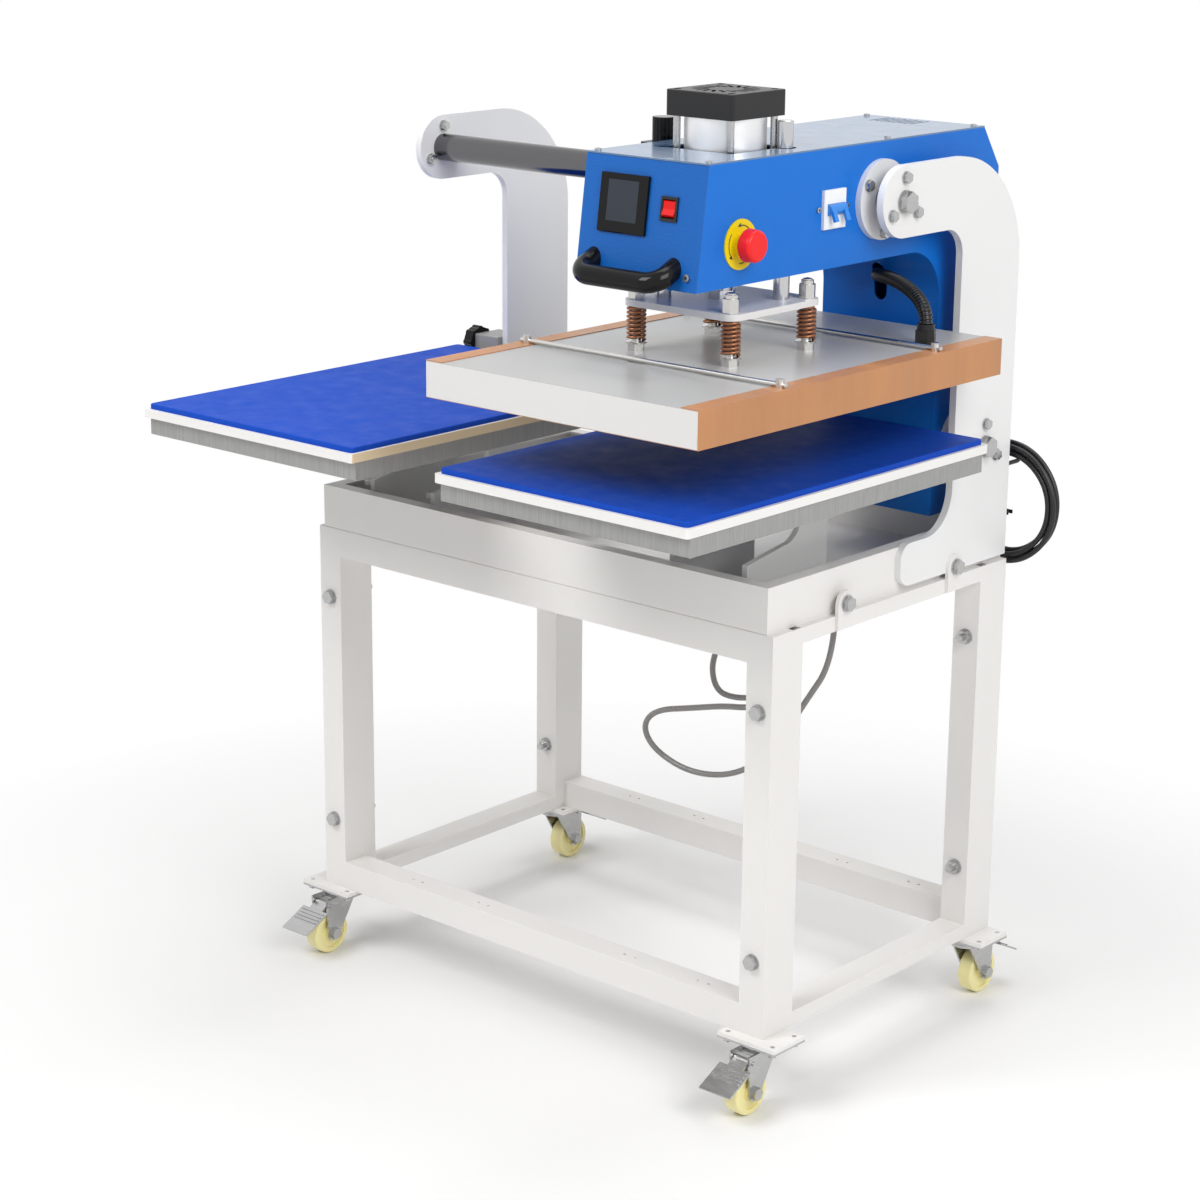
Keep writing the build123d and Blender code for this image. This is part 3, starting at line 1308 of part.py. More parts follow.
# Mains lead: from its gland round the coil on the hook, its plug inside the coil
coil_x, coil_z = coil_centre
layer_back = coil_y + coil_layer
lead_route = [(lead_gland[0], half_depth + fitting_length, lead_gland[1]), (lead_gland[0], 298, lead_gland[1]),
              (286, 300, 667), (312, 284, 676)]
corner_share = math.cos(math.pi / 8)
for step in range(16):
    angle = math.radians(200 + 45 * step)
    radius = (coil_inner - 8 + coil_step * step / 8) / corner_share
    lead_route.append((coil_x + radius * math.cos(angle), layer_back, coil_z + radius * math.sin(angle)))
for step in range(16):
    angle = math.radians(200 + 45 * (16 + step))
    radius = (coil_inner - 8 + coil_step * (15.5 - step) / 8) / corner_share
    lead_route.append((coil_x + radius * math.cos(angle), coil_y, coil_z + radius * math.sin(angle)))
plug_place = (352.0, 270.0, 694.0)
lead_route += [(332, plug_place[1], plug_place[2]), plug_place]
mains_lead = hanging_tube(lead_route, lead_radius, "mains_lead")
save(mains_lead.part, "mains_lead")

# Plug at the lead's end
plug_radius = 12.0
plug_length = 30.0
pin_length = 14.0
with BuildPart() as mains_plug:
    with Locations(spot(plug_place[0] + plug_length / 2 + hole_gap, plug_place[1], plug_place[2], (0, 90, 0))):
        Cylinder(plug_radius, plug_length)
    fillet(mains_plug.edges().filter_by(GeomType.CIRCLE), 3.0)
    for dy in (-5.0, 5.0):
        with Locations(spot(plug_place[0] + plug_length + pin_length / 2, plug_place[1] + dy, plug_place[2])):
            Box(pin_length, 1.6, 5.0)
save(mains_plug.part, "mains_plug")
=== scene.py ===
import math

import bpy
from mathutils import Matrix, Vector


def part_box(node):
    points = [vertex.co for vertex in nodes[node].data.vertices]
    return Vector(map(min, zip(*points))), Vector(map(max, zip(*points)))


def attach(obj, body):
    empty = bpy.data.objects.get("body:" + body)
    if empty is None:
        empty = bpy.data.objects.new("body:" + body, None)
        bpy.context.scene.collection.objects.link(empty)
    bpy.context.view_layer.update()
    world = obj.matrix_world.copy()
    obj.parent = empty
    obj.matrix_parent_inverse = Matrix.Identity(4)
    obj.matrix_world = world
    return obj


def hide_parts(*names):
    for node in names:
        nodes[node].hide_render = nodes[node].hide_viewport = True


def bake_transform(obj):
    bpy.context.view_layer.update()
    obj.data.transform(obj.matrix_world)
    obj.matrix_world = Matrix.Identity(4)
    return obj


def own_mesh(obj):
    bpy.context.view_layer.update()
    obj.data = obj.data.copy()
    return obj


bl_info = {
    "name": "Dual Station Heat Press",
    "version": (1, 0, 0),
    "blender": (4, 5, 0),
    "location": "View3D > Sidebar > Heat Press",
    "description": "Builds the looks of a dual station heat press round its CAD frame",
    "category": "Add Mesh",
}

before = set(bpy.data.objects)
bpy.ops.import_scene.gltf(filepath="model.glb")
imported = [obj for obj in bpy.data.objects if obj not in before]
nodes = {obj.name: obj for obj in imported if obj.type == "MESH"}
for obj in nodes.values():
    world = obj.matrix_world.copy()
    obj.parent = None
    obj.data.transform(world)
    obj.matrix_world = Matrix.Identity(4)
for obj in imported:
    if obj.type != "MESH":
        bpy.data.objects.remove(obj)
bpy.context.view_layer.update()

# Places that the CAD part uses, in metres: the stand's centre, the press and the tilted front panel
STAND_X = -0.006
STAND_Y = 0.095
STATION_X = 0.2715
PRESS_Y = -0.205
FACE_TOP = (-0.350, 1.214)
FACE_BOTTOM = (-0.370, 1.066)
HEAD_RIGHT = 0.3645
BOARD_HALF = 0.2

# Camera: its place from the stand's centre, its turn, dip and roll in degrees, and its lens and sensor
# width in millimetres
CAMERA_PLACE = (2.40225, -2.85165, 1.6145)
CAMERA_TURN = 41.30
CAMERA_DIP = 15.95
CAMERA_ROLL = 0.50
CAMERA_LENS = 83.983
CAMERA_SENSOR = 36.0

# Lamps: place, size, power and the place that each points at
LAMPS = (
    ((-0.9, -3.4, 4.0), 2.2, 118.0, (0, 0, 0.6)),
    ((3.4, -0.9, 3.0), 2.2, 88.0, (0, 0, 0.7)),
    ((0.1, 1.0, 4.8), 2.6, 55.0, (0, 0, 0.8)),
)

# Distances from the middle between which the floor fades to white, and the light from all round
FLOOR_FADE = (0.5, 1.35)
SHADE_STRENGTH = 0.40

# Springs: turns, steps in a turn, distance from the press's middle on either axis, and radius
SPRING_TURNS = 8
SPRING_STEPS = 28
SPRING_OFFSET = 0.074
SPRING_RADIUS = 0.0106

# Conduit: ribs, length, radius, thickness of a rib, and each end of its line with the handles beside it
CONDUIT_RIBS = 58
CONDUIT_LENGTH = 0.264
CONDUIT_RADIUS = 0.0076
CONDUIT_RIB = 0.0013
CONDUIT_ENDS = (
    ((0.2715, 0.140, 1.0143), (0.2715, 0.160, 1.009), (0.2715, 0.060, 1.034)),
    ((0.436, -0.005, 0.990), (0.436, 0.0, 1.052), (0.436, -0.005, 0.960)),
)

# Edges shallower than this are shaded smooth
SMOOTH_ANGLE = math.radians(50)

# Screen glass: its size, and its place across, down and out from the front panel's top edge
GLASS_SIZE = (0.0468, 0.0007, 0.0488)
GLASS_PLACE = (-0.028, 0.054, 0.0035)

# Arrows round the stop button: middle, radius, and in degrees where each starts and how far it goes
ARROW_CENTRE = (HEAD_RIGHT + 0.0015, -0.289, 1.115)
ARROW_RADIUS = 0.0225
ARROW_STARTS = (20, 140, 260)
ARROW_SWEEP = 75

# Pegs on the tray
PEG_PLACES = ((-0.349, -0.212), (-0.233, -0.207))
PEG_HEIGHT = 0.6965

# Hose route in millimetres from the stand's centre
HOSE_ROUTE = (
    (206, -96, 620), (206, -96, 570), (174, -92, 520), (180, -88, 478), (214, -86, 474), (262, -88, 488),
    (296, -116, 492), (284, -150, 492), (240, -146, 484), (182, -136, 466), (110, -130, 446),
    (82, -122, 414), (100, -116, 382), (160, -110, 362), (230, -100, 374), (284, -92, 420),
    (318, -78, 486), (352, -60, 550), (352, -60, 620),
)

# Lead route in millimetres: its start, and its end at the plug
LEAD_START = ((250, 269, 665), (250, 298, 665), (286, 300, 667), (312, 284, 676))
LEAD_END = ((332, 270, 694), (352, 270, 694))

# The lead's coil in millimetres: middle, inner radius, growth in a turn and the depths of its two layers,
# and its points: how many, the first one's angle and the angle between them in degrees
COIL_CENTRE = (388, 709)
COIL_RADIUS = 66
COIL_GROWTH = 8.8
COIL_DEPTHS = (272.6, 264.0)
COIL_STEPS = 32
FIRST_ANGLE = 200
STEP_ANGLE = 45


def spot(x, y, z):
    """A place measured from the stand's centre on the floor."""
    return Vector((STAND_X + x, STAND_Y + y, z))


class Socket:
    """A shader value that can be used in sums, so that materials read as formulas."""

    def __init__(self, shader, link):
        self.shader = shader
        self.link = link

    def combine(self, operation, other):
        return self.shader.node("ShaderNodeMath", "Value", {0: self, 1: other}, operation=operation)

    def __add__(self, other):
        return self.combine("ADD", other)

    def __mul__(self, other):
        return self.combine("MULTIPLY", other)

    __radd__ = __add__
    __rmul__ = __mul__

    def __gt__(self, other):
        return self.combine("GREATER_THAN", other)

    def __lt__(self, other):
        return self.combine("LESS_THAN", other)


class Shader:
    """A material, or the world, with the nodes that feed its surface."""

    def __init__(self, name, owner=None):
        self.material = owner or bpy.data.materials.new(name)
        self.material.use_nodes = True
        self.tree = self.material.node_tree
        self.surface = self.tree.nodes.get("Principled BSDF")

    def node(self, kind, output, inputs=None, **settings):
        made = self.tree.nodes.new(kind)
        for name, value in settings.items():
            setattr(made, name, value)
        for name, value in (inputs or {}).items():
            self.feed(made.inputs[name], value)
        return Socket(self, made.outputs[output])

    def feed(self, target, value):
        if isinstance(value, Socket):
            self.tree.links.new(value.link, target)
        else:
            target.default_value = value

    def set(self, **values):
        for name, value in values.items():
            self.feed(self.surface.inputs[name.replace("_", " ")], value)

    def place(self):
        return self.node("ShaderNodeTexCoord", "Object")

    def axis(self, name):
        return self.node("ShaderNodeSeparateXYZ", name, {0: self.place()})

    def stretched(self, scale):
        return self.node("ShaderNodeMapping", "Vector", {"Vector": self.place(), "Scale": scale})

    def seen(self):
        """1 where a ray comes straight from the camera, from a gloss or through glass."""
        kinds = ("Is Camera Ray", "Is Glossy Ray", "Is Transmission Ray")
        straight, glossy, through = [self.node("ShaderNodeLightPath", kind) for kind in kinds]
        return straight + glossy + through

    def show(self, output, factor, first, second):
        """Shows one shader mixed into another."""
        mixed = self.node("ShaderNodeMixShader", "Shader", {0: factor, 1: first, 2: second})
        self.feed(self.tree.nodes[output].inputs["Surface"], mixed)

    def noise(self, scale, detail=3.0, vector=None):
        return self.node("ShaderNodeTexNoise", "Fac",
                         {"Vector": vector or self.place(), "Scale": scale, "Detail": detail})

    def ramp(self, value, low, high, start, end):
        return self.node("ShaderNodeMapRange", "Result",
                         {"Value": value, "From Min": low, "From Max": high, "To Min": start, "To Max": end})

    def spread(self, value, start, end):
        """The middle of a noise spread over a range."""
        return self.ramp(value, 0.3, 0.7, start, end)

    def mix(self, factor, first, second):
        return self.node("ShaderNodeMix", 2, {"Factor": factor, 6: first, 7: second}, data_type="RGBA")

    def bump(self, height, strength, distance):
        return self.node("ShaderNodeBump", "Normal",
                         {"Height": height, "Strength": strength, "Distance": distance})


def tint(colour, share):
    """The colour made lighter or darker by a share."""
    return (*[max(0.0, min(1.0, channel * (1 + share))) for channel in colour[:3]], 1.0)


def plain(name, colour, roughness, metallic=0.0, grain=0.0, grain_scale=900.0, coat=0.0, wear=0.04,
          shine=0.5):
    """A finish with slight changes of tone and roughness, and a fine grain if asked."""
    shader = Shader(name)
    shader.set(Base_Color=shader.mix(shader.noise(6.0), tint(colour, -wear), tint(colour, wear)),
               Roughness=shader.spread(shader.noise(40.0), roughness * 0.9, roughness * 1.1),
               Metallic=metallic, Coat_Weight=coat, Specular_IOR_Level=shine)
    if grain:
        shader.set(Normal=shader.bump(shader.noise(grain_scale, 2.0), grain, 0.0004))
    return shader.material


def brushed(name, colour, roughness, stretch):
    """Metal whose grain is drawn out along one axis."""
    shader = Shader(name)
    grain = shader.noise(30.0, 6.0, shader.stretched(stretch))
    shader.set(Base_Color=shader.mix(grain, tint(colour, -0.12), tint(colour, 0.1)), Metallic=1.0,
               Roughness=shader.spread(grain, roughness * 0.75, roughness * 1.25))
    return shader.material


def dress(names, material):
    """Gives CAD pieces a finish."""
    for name in names:
        nodes[name].data.materials.clear()
        nodes[name].data.materials.append(material)


def starting_with(*starts):
    """The CAD pieces whose names start so."""
    return [name for name in nodes if name.startswith(starts)]


def pick(obj):
    """Selects one object alone."""
    bpy.ops.object.select_all(action="DESELECT")
    obj.select_set(True)
    bpy.context.view_layer.objects.active = obj


def settle(obj):
    """Puts an object's place, turn and size into its mesh."""
    pick(obj)
    bpy.ops.object.transform_apply(location=True, rotation=True, scale=True)


def smooth(obj):
    """Shades a piece smooth over its shallow edges."""
    pick(obj)
    bpy.ops.object.shade_smooth_by_angle(angle=SMOOTH_ANGLE)


def finish_piece(obj, name, body, material):
    """Names a new piece, gives it its finish and lets it move with its body, if it has one."""
    obj.name = name
    obj.data.materials.clear()
    obj.data.materials.append(material)
    settle(obj)
    if body:
        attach(obj, body)


def add_modifier(obj, kind, **settings):
    """Adds a modifier and applies it."""
    pick(obj)
    made = obj.modifiers.new(kind.title(), kind)
    for name, value in settings.items():
        setattr(made, name, value)
    bpy.ops.object.modifier_apply(modifier=made.name)


def join(pieces):
    """Joins pieces into the first."""
    bpy.ops.object.select_all(action="DESELECT")
    for piece in pieces:
        piece.select_set(True)
    bpy.context.view_layer.objects.active = pieces[0]
    bpy.ops.object.join()
    return bpy.context.object


def face_place(across, down, out):
    """A place on the tilted front panel, measured from its top edge's middle, and the panel's tilt."""
    length = math.dist(FACE_TOP, FACE_BOTTOM)
    way = ((FACE_BOTTOM[0] - FACE_TOP[0]) / length, (FACE_BOTTOM[1] - FACE_TOP[1]) / length)
    y = FACE_TOP[0] + way[0] * down + way[1] * out
    z = FACE_TOP[1] + way[1] * down - way[0] * out
    return spot(STATION_X + across, y, z), (math.atan2(way[0], -way[1]), 0.0, 0.0)


def route_spots(route):
    """A route's points in metres in the frame."""
    return [spot(x / 1000, y / 1000, z / 1000) for x, y, z in route]


def spline_cord(name, points, thickness, material):
    """A round cord that follows a smooth line through its route."""
    curve = bpy.data.curves.new(name, "CURVE")
    curve.dimensions = "3D"
    curve.bevel_depth = thickness / 2
    curve.bevel_resolution = 4
    curve.use_fill_caps = True
    line = curve.splines.new("NURBS")
    line.points.add(len(points) - 1)
    for point, place in zip(line.points, points):
        point.co = (*place, 1.0)
    line.order_u = 3
    line.use_endpoint_u = True
    line.resolution_u = 12
    obj = bpy.data.objects.new(name, curve)
    bpy.context.scene.collection.objects.link(obj)
    obj.data.materials.append(material)
    return obj


def colour_property(name, description, default):
    """A colour that a user may change."""
    return bpy.props.FloatVectorProperty(name=name, description=description, subtype="COLOR", size=3,
                                         min=0, max=1, default=default)


def thickness_property(name, description, default, low, high):
    """A thickness that a user may change."""
    return bpy.props.FloatProperty(name=name, description=description, default=default, min=low, max=high,
                                   unit="LENGTH", precision=4)


class PressColours(bpy.types.PropertyGroup):
    stand: colour_property("Stand", "Paint of the stand and the tray", (0.80, 0.785, 0.765))
    plates: colour_property("Plates", "Paint of the side and press plates", (0.80, 0.80, 0.80))
    head: colour_property("Head", "Paint of the sliding head", (0.002, 0.155, 0.62))
    pad: colour_property("Pads", "Soft pads on the boards", (0.002, 0.062, 0.47))
    sheet: colour_property("Sheet", "Non-stick sheet round the heater", (0.46, 0.205, 0.078))
    wheels: colour_property("Wheels", "Caster wheels", (0.90, 0.82, 0.40))


class PressSizes(bpy.types.PropertyGroup):
    wire: thickness_property("Spring wire", "Thickness of the springs' wire", 0.0038, 0.002, 0.005)
    hose: thickness_property("Hose", "Thickness of the air hose", 0.008, 0.004, 0.012)
    lead: thickness_property("Lead", "Thickness of the mains lead", 0.0075, 0.004, 0.012)


class HEATPRESS_OT_camera(bpy.types.Operator):
    """Adds the camera that sees the press as the photograph does"""

    bl_idname = "heatpress.camera"
    bl_label = "Camera"

    def execute(self, context):
        bpy.ops.object.camera_add()
        camera = context.object
        place = Matrix.Translation(spot(*CAMERA_PLACE))
        turn = Matrix.Rotation(math.radians(CAMERA_TURN), 4, "Z")
        dip = Matrix.Rotation(math.radians(90 - CAMERA_DIP), 4, "X")
        roll = Matrix.Rotation(math.radians(CAMERA_ROLL), 4, "Z")
        camera.matrix_world = place @ (turn @ dip) @ roll
        camera.data.lens = CAMERA_LENS
        camera.data.sensor_width = CAMERA_SENSOR
        camera.data.clip_end = 60.0
        context.scene.camera = camera
        return {"FINISHED"}


class HEATPRESS_OT_stage(bpy.types.Operator):
    """Adds the pale floor, the bright surroundings and the lamps"""

    bl_idname = "heatpress.stage"
    bl_label = "Stage"

    def execute(self, context):
        self.floor(context)
        self.surroundings(context)
        for place, size, power, target in LAMPS:
            bpy.ops.object.light_add(type="AREA", location=place)
            lamp = context.object
            lamp.data.size = size
            lamp.data.energy = power
            way = Vector(target) - Vector(place)
            lamp.rotation_euler = way.to_track_quat("-Z", "Y").to_euler()
        context.scene.view_settings.view_transform = "Standard"
        return {"FINISHED"}

    def floor(self, context):
        """A pale floor that keeps the shadow and fades to white away from the press."""
        bpy.ops.mesh.primitive_plane_add(size=60, location=(0, 0, 0))
        floor = context.object
        floor.name = "floor"
        shader = Shader("floor_white")
        shader.set(Base_Color=(0.90, 0.90, 0.90, 1), Roughness=0.6, Specular_IOR_Level=0.1)
        away = shader.node("ShaderNodeVectorMath", "Value", {0: shader.place()}, operation="LENGTH")
        white = shader.node("ShaderNodeEmission", "Emission", {"Color": (1, 1, 1, 1), "Strength": 1.0})
        shader.show("Material Output", shader.seen() * shader.ramp(away, *FLOOR_FADE, 0.0, 1.0),
                    Socket(shader, shader.surface.outputs[0]), white)
        floor.data.materials.append(shader.material)

    def surroundings(self, context):
        """A world that looks white and lights the press softly."""
        world = bpy.data.worlds.new("surroundings")
        context.scene.world = world
        shader = Shader("surroundings", world)
        shade = shader.node("ShaderNodeBackground", "Background",
                            {"Color": (1.0, 0.99, 0.98, 1), "Strength": SHADE_STRENGTH})
        white = shader.node("ShaderNodeBackground", "Background", {"Color": (1, 1, 1, 1), "Strength": 1.0})
        shader.show("World Output", shader.seen(), shade, white)


class HEATPRESS_OT_finishes(bpy.types.Operator):
    """Gives every CAD piece its paint, metal or plastic"""

    bl_idname = "heatpress.finishes"
    bl_label = "Finishes"

    def execute(self, context):
        colours = context.scene.heatpress_colours
        self.paints(colours)
        self.plastics()
        self.metals()
        self.cast_plates()
        self.heater_cover()
        self.boards()
        self.sheet(colours.sheet)
        self.wheels(colours.wheels)
        return {"FINISHED"}

    def paints(self, colours):
        """Powder paint on the stand, the plates and the head, enamel on the heater, and the soft pads."""
        dress(["front_frame", "rear_frame", "side_frames", "base_tray"],
              plain("cream_paint", colours.stand, 0.42, grain=0.05, coat=0.1, wear=0.012))
        dress(["left_side_plate", "right_side_plate", "press_plate", "bearing_flanges", "station_supports"],
              plain("white_paint", colours.plates, 0.38, grain=0.06, coat=0.1, wear=0.012))
        dress(["carriage_casing"],
              plain("blue_paint", colours.head, 0.42, grain=0.12, grain_scale=420.0, wear=0.03, shine=0.3))
        dress(["front_panel"],
              plain("blue_panel", tint(colours.head, -0.30), 0.38, grain=1.0, grain_scale=330.0, wear=0.08,
                    shine=0.35))
        dress(["top_cover"],
              plain("cover_paint", (0.13, 0.22, 0.37), 0.24, metallic=0.35, coat=0.35, wear=0.04))
        dress(["heater_plate"], plain("white_enamel", (0.70, 0.695, 0.685), 0.34, coat=0.1, wear=0.01))
        dress(["pads"],
              plain("blue_pad", colours.pad, 0.62, grain=0.25, grain_scale=1500.0, wear=0.05, shine=0.2))

    def plastics(self):
        """Plastic of the cap, the knobs, the handle and the switches."""
        dress(["cylinder_cap", "regulator_body", "heater_gland", "cord_fittings", "rocker_frame",
               "mains_plug"],
              plain("black_plastic", (0.012, 0.012, 0.013), 0.36, grain=0.1, shine=0.35))
        dress(["handle", "stop_knob", "regulator_knob", "screen"],
              plain("black_gloss", (0.004, 0.004, 0.005), 0.12, shine=0.22))
        dress(["rocker"], plain("red_plastic", (0.72, 0.003, 0.003), 0.25, shine=0.35))
        dress(["estop_button"], plain("red_button", (0.84, 0.012, 0.012), 0.34, shine=0.35))
        dress(["estop_housing"], plain("yellow_plastic", (0.84, 0.66, 0.004), 0.4, shine=0.3))
        dress(["breaker"], plain("white_plastic", (0.86, 0.88, 0.89), 0.32, coat=0.2))
        dress(["breaker_lever"], plain("blue_plastic", (0.01, 0.22, 0.72), 0.3, coat=0.3))

    def metals(self):
        """Zinc on the fasteners and casters, and bright steel and aluminium on what slides, with the slide
        shafts painted dark for the surroundings they reflect.
        """
        zinc = ["frame_bolts", "carriage_fasteners", "caster_mounts", "cylinder_mount"]
        dress(zinc + starting_with("fork_", "pedal_"),
              brushed("zinc_steel", (0.50, 0.50, 0.50), 0.24, (1, 1, 8)))
        dress(["heater_fasteners"], plain("bright_zinc", (0.62, 0.61, 0.59), 0.24, metallic=1.0, wear=0.05))
        # The slide shafts' steel is painted dark, a painted reflection of dark surroundings; the lamps give
        # its bright lines
        dress(["slide_shafts"], brushed("polished_steel", (0.15, 0.15, 0.155), 0.13, (1, 30, 30)))
        dress(["guide_posts", "piston_rod"], brushed("bright_rod", (0.60, 0.60, 0.62), 0.12, (30, 30, 1)))
        dress(["cylinder_barrel"],
              plain("drawn_aluminium", (0.86, 0.86, 0.86), 0.36, metallic=0.9, wear=0.02))

    def cast_plates(self):
        """Grey cast plates with the fine lines of the saw down their edges."""
        shader = Shader("grey_cast")
        lines = shader.noise(700.0, 3.0, shader.stretched((1, 1, 0.02)))
        shader.set(Base_Color=shader.mix(lines, (0.25, 0.25, 0.245, 1), (0.42, 0.42, 0.41, 1)), Metallic=0.35,
                   Roughness=shader.spread(shader.noise(60.0), 0.42, 0.58),
                   Normal=shader.bump(lines, 0.5, 0.0005))
        dress(["platens", "stop_bracket"], shader.material)

    def heater_cover(self):
        """Enamel that is white down the sides and light grey on top."""
        shader = Shader("cover_enamel")
        top = shader.axis("Z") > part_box("heater_cover")[1].z - 0.0005
        broad = shader.noise(5.0)
        grey = shader.mix(broad, (0.43, 0.43, 0.42, 1), (0.47, 0.47, 0.46, 1))
        shader.set(Base_Color=shader.mix(top, (0.70, 0.695, 0.685, 1), grey),
                   Roughness=shader.spread(broad, 0.32, 0.38), Coat_Weight=0.1)
        dress(["heater_cover"], shader.material)

    def boards(self):
        """White boards, with the copper sheet's reflection painted in buff on the left one's inner edge."""
        shader = Shader("white_board")
        inner = STAND_X - STATION_X + BOARD_HALF
        # The left board's inner edge, where the copper sheet's reflection is painted in buff
        painted_reflection_edge = (shader.axis("X") > inner - 0.001) * (shader.axis("X") < inner + 0.001)
        fibre = shader.noise(90.0, 4.0, shader.stretched((1, 1, 6)))
        white = shader.mix(fibre, (0.80, 0.79, 0.77, 1), (0.84, 0.83, 0.81, 1))
        shader.set(Base_Color=shader.mix(painted_reflection_edge, white, (0.72, 0.58, 0.38, 1)), Roughness=0.45)
        dress(["boards"], shader.material)

    def sheet(self, colour):
        """Copper-brown non-stick cloth with soft creases, with sheen and the shade in the creases painted
        into its colour.
        """
        shader = Shader("copper_fabric")
        creases_and_sheen = shader.noise(7.0, 4.0, shader.stretched((1, 2.2, 0.5)))
        weave = shader.noise(1200.0, 2.0)
        # The lighter and darker copper along the creases is painted sheen and shade; the same noise also
        # bends the surface
        shader.set(Base_Color=shader.mix(creases_and_sheen, tint(colour, -0.22), tint(colour, 0.25)),
                   Roughness=shader.spread(creases_and_sheen, 0.30, 0.48), Coat_Weight=0.15,
                   Normal=shader.bump(creases_and_sheen + weave * 0.04, 0.9, 0.006))
        dress(["ptfe_sheet"], shader.material)

    def wheels(self, colour):
        """Slightly waxy cream wheels."""
        shader = Shader("cream_wheel")
        shader.set(Base_Color=shader.mix(shader.noise(14.0), tint(colour, -0.05), tint(colour, 0.05)),
                   Roughness=0.3, Subsurface_Weight=0.1, Subsurface_Scale=0.005, Coat_Weight=0.3)
        dress(starting_with("wheel_"), shader.material)


class HEATPRESS_OT_cords(bpy.types.Operator):
    """Lays the air hose under the tray and the coiled mains lead"""

    bl_idname = "heatpress.cords"
    bl_label = "Hose and lead"

    def execute(self, context):
        sizes = context.scene.heatpress_sizes
        points = route_spots(HOSE_ROUTE)
        hose = spline_cord("hose", points, sizes.hose,
                           plain("hose_grey", (0.20, 0.19, 0.185), 0.3, coat=0.3))
        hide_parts("air_hose")
        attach(hose, "base")
        points = route_spots([*LEAD_START, *self.coil(), *LEAD_END])
        lead = spline_cord("lead", points, sizes.lead, plain("black_rubber", (0.01, 0.01, 0.011), 0.4))
        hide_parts("mains_lead")
        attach(lead, "base")
        return {"FINISHED"}

    def coil(self):
        """Two turns that grow outwards, and two in front of them that come back in."""
        half = COIL_STEPS // 2
        corner = math.cos(math.radians(STEP_ANGLE / 2))
        places = []
        for step in range(COIL_STEPS):
            angle = math.radians(FIRST_ANGLE + STEP_ANGLE * step)
            along = step if step < half else COIL_STEPS - 0.5 - step
            radius = (COIL_RADIUS + COIL_GROWTH * along * STEP_ANGLE / 360) / corner
            depth = COIL_DEPTHS[0] if step < half else COIL_DEPTHS[1]
            places.append((COIL_CENTRE[0] + radius * math.cos(angle), depth,
                           COIL_CENTRE[1] + radius * math.sin(angle)))
        return places


class HEATPRESS_OT_springs(bpy.types.Operator):
    """Winds the four springs on the heater's studs"""

    bl_idname = "heatpress.springs"
    bl_label = "Springs"

    def execute(self, context):
        wire = context.scene.heatpress_sizes.wire
        low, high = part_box("press_springs")
        made = []
        for side_x in (-1, 1):
            for side_y in (-1, 1):
                bpy.ops.mesh.primitive_circle_add(vertices=12, radius=wire / 2,
                                                  location=(SPRING_RADIUS, 0, 0),
                                                  rotation=(math.pi / 2, 0, 0), fill_type="NGON")
                coil = context.object
                settle(coil)
                add_modifier(coil, "SCREW", axis="Z", screw_offset=(high.z - low.z - wire) / SPRING_TURNS,
                             iterations=SPRING_TURNS, steps=SPRING_STEPS, render_steps=SPRING_STEPS,
                             use_normal_calculate=True)
                coil.location = spot(STATION_X + side_x * SPRING_OFFSET, PRESS_Y + side_y * SPRING_OFFSET,
                                     low.z + wire / 2)
                settle(coil)
                smooth(coil)
                made.append(coil)
        springs = join(made)
        material = plain("spring_bronze", (0.34, 0.13, 0.055), 0.32, metallic=0.6, coat=0.3, wear=0.1)
        finish_piece(springs, "springs", "heater", material)
        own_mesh(springs)
        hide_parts("press_springs")
        return {"FINISHED"}


class HEATPRESS_OT_conduit(bpy.types.Operator):
    """Bends the ribbed conduit from the column to the heater"""

    bl_idname = "heatpress.conduit"
    bl_label = "Conduit"

    def execute(self, context):
        pitch = CONDUIT_LENGTH / CONDUIT_RIBS
        bpy.ops.mesh.primitive_cylinder_add(vertices=24, radius=CONDUIT_RADIUS, depth=pitch * 1.02,
                                            end_fill_type="NOTHING")
        pipe = context.object
        bpy.ops.mesh.primitive_torus_add(major_segments=24, minor_segments=8, major_radius=CONDUIT_RADIUS,
                                         minor_radius=CONDUIT_RIB)
        rib = join([pipe, context.object])
        add_modifier(rib, "ARRAY", count=CONDUIT_RIBS, use_relative_offset=False,
                     use_constant_offset=True, constant_offset_displace=(0, 0, pitch))
        guide = self.guide(context)
        add_modifier(rib, "CURVE", object=guide, deform_axis="POS_Z")
        bpy.data.objects.remove(guide)
        smooth(rib)
        material = plain("conduit_black", (0.008, 0.008, 0.009), 0.22, shine=0.4)
        finish_piece(rib, "conduit_tube", None, material)
        spot(0.2715, 0.125, 1.0)
        spot(0.436, -0.005, 1.0)
        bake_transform(rib)
        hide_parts("conduit")
        return {"FINISHED"}

    def guide(self, context):
        """The line of the bend, from inside the column's slot down into the gland."""
        curve = bpy.data.curves.new("conduit_line", "CURVE")
        curve.dimensions = "3D"
        line = curve.splines.new("BEZIER")
        line.bezier_points.add(1)
        line.resolution_u = 64
        for point, (place, before, after) in zip(line.bezier_points, CONDUIT_ENDS):
            point.co = spot(*place)
            point.handle_left = spot(*before)
            point.handle_right = spot(*after)
        guide = bpy.data.objects.new("conduit_line", curve)
        context.scene.collection.objects.link(guide)
        context.view_layer.update()
        return guide


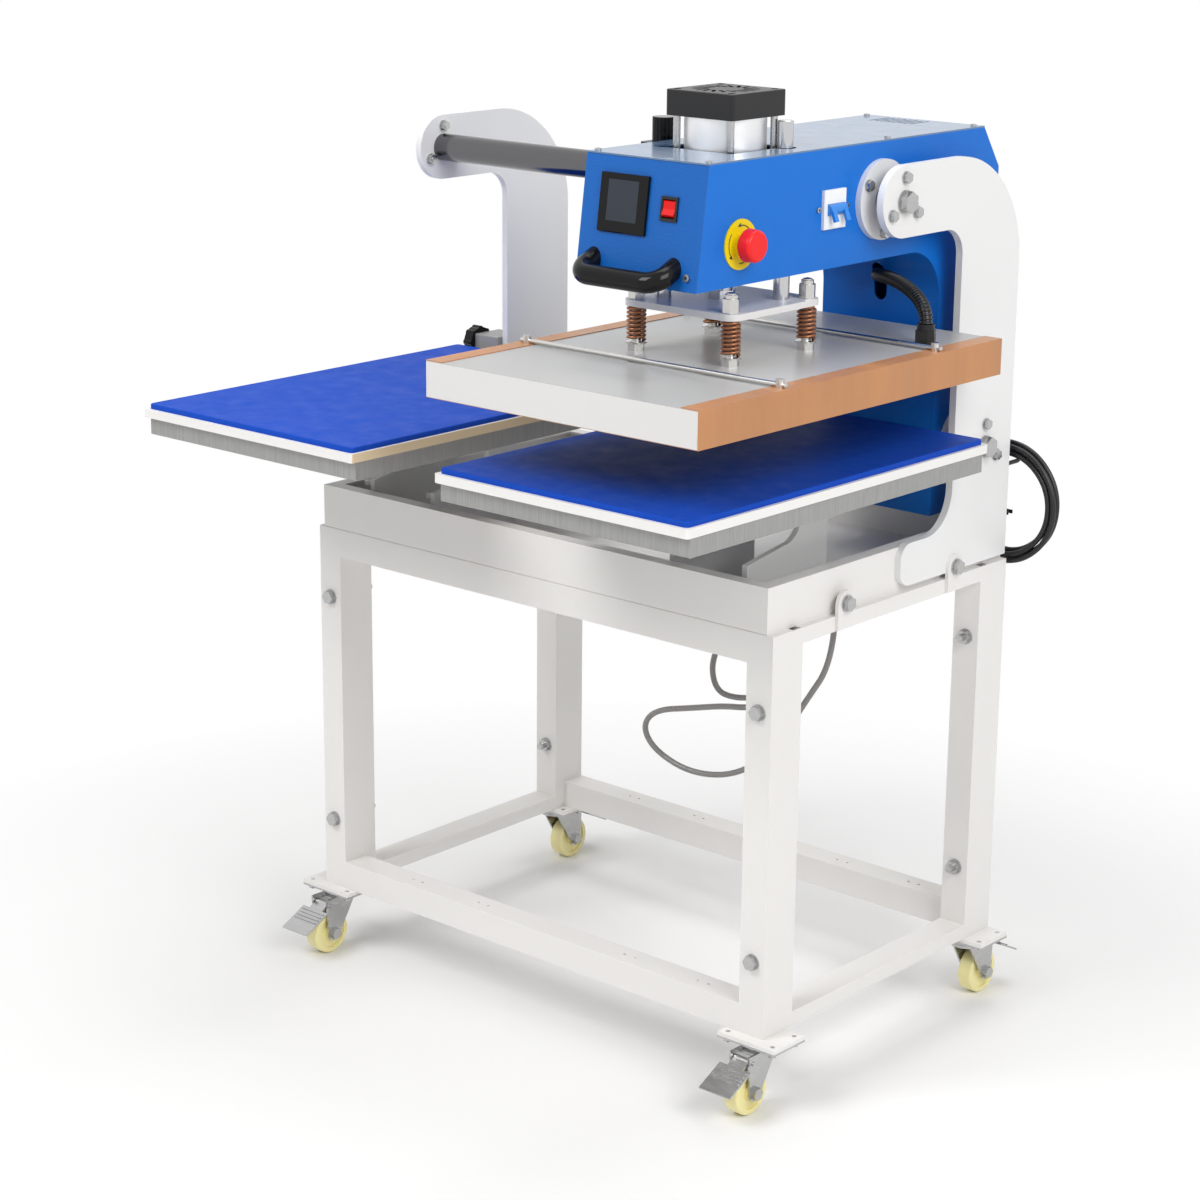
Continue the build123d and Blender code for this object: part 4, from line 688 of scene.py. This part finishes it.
class HEATPRESS_OT_screen(bpy.types.Operator):
    """Sets the dark glass into the screen's bezel"""

    bl_idname = "heatpress.screen"
    bl_label = "Screen glass"

    def execute(self, context):
        place, tilt = face_place(*GLASS_PLACE)
        bpy.ops.mesh.primitive_cube_add(size=1, location=place, rotation=tilt)
        glass = context.object
        glass.scale = GLASS_SIZE
        add_modifier(glass, "BEVEL", width=0.0002, segments=2)
        shader = Shader("screen_glass")
        sheen = shader.mix(shader.noise(9.0, 1.0), (0.022, 0.028, 0.040, 1), (0.034, 0.041, 0.056, 1))
        shader.set(Base_Color=sheen, Roughness=0.16, Specular_IOR_Level=0.3)
        finish_piece(glass, "screen_glass", "carriage", shader.material)
        return {"FINISHED"}


class HEATPRESS_OT_marks(bpy.types.Operator):
    """Adds the arrows round the stop button and the tray's pegs"""

    bl_idname = "heatpress.marks"
    bl_label = "Marks"

    def execute(self, context):
        arrows = []
        for start in ARROW_STARTS:
            arrows += self.arrow(context, start)
        black = plain("mark_black", (0.02, 0.02, 0.02), 0.6)
        finish_piece(join(arrows), "stop_arrows", "carriage", black)
        pegs = []
        for x, y in PEG_PLACES:
            bpy.ops.mesh.primitive_cylinder_add(vertices=20, radius=0.005, depth=0.006,
                                                location=spot(x, y, PEG_HEIGHT))
            pegs.append(context.object)
        white = plain("peg_white", (0.8, 0.8, 0.78), 0.4)
        finish_piece(join(pegs), "tray_pegs", "base", white)
        return {"FINISHED"}

    def arrow(self, context, start):
        """One arc of thin wire round the button, with a small head at its end."""
        centre = spot(*ARROW_CENTRE)
        bpy.ops.mesh.primitive_torus_add(major_segments=48, minor_segments=4, major_radius=ARROW_RADIUS,
                                         minor_radius=0.0007, rotation=(0, math.pi / 2, 0), location=centre)
        arc = context.object
        bpy.ops.object.mode_set(mode="EDIT")
        bpy.ops.mesh.select_all(action="DESELECT")
        bpy.ops.object.mode_set(mode="OBJECT")
        for vertex in arc.data.vertices:
            away = arc.matrix_world @ vertex.co - centre
            angle = math.degrees(math.atan2(away.z, away.y)) % 360
            vertex.select = not start <= angle <= start + ARROW_SWEEP
        bpy.ops.object.mode_set(mode="EDIT")
        bpy.ops.mesh.delete(type="VERT")
        bpy.ops.object.mode_set(mode="OBJECT")
        end = math.radians(start + ARROW_SWEEP + 5)
        tip = centre + Vector((0.0003, ARROW_RADIUS * math.cos(end), ARROW_RADIUS * math.sin(end)))
        bpy.ops.mesh.primitive_cone_add(vertices=3, radius1=0.0032, radius2=0, depth=0.006, location=tip,
                                        rotation=(end, 0, 0))
        head = context.object
        head.scale = (0.15, 1, 1)
        return [arc, head]


STEPS = (HEATPRESS_OT_camera, HEATPRESS_OT_cords, HEATPRESS_OT_stage, HEATPRESS_OT_finishes,
         HEATPRESS_OT_springs, HEATPRESS_OT_conduit, HEATPRESS_OT_screen, HEATPRESS_OT_marks)


class HEATPRESS_PT_panel(bpy.types.Panel):
    """Lists the steps that build the press"""

    bl_label = "Heat Press"
    bl_idname = "HEATPRESS_PT_panel"
    bl_space_type = "VIEW_3D"
    bl_region_type = "UI"
    bl_category = "Heat Press"

    def draw(self, context):
        for group in (context.scene.heatpress_colours, context.scene.heatpress_sizes):
            for name in group.__annotations__:
                self.layout.prop(group, name)
        for step in STEPS:
            self.layout.operator(step.bl_idname)


CLASSES = (PressColours, PressSizes, *STEPS, HEATPRESS_PT_panel)


def register():
    for each in CLASSES:
        bpy.utils.register_class(each)
    bpy.types.Scene.heatpress_colours = bpy.props.PointerProperty(type=PressColours)
    bpy.types.Scene.heatpress_sizes = bpy.props.PointerProperty(type=PressSizes)


def unregister():
    del bpy.types.Scene.heatpress_sizes
    del bpy.types.Scene.heatpress_colours
    for each in reversed(CLASSES):
        bpy.utils.unregister_class(each)


def main():
    register()
    bpy.ops.heatpress.camera()
    bpy.ops.heatpress.cords()
    bpy.ops.heatpress.stage()
    bpy.ops.heatpress.finishes()
    bpy.ops.heatpress.springs()
    bpy.ops.heatpress.conduit()
    bpy.ops.heatpress.screen()
    bpy.ops.heatpress.marks()


if __name__ == "__main__":
    main()
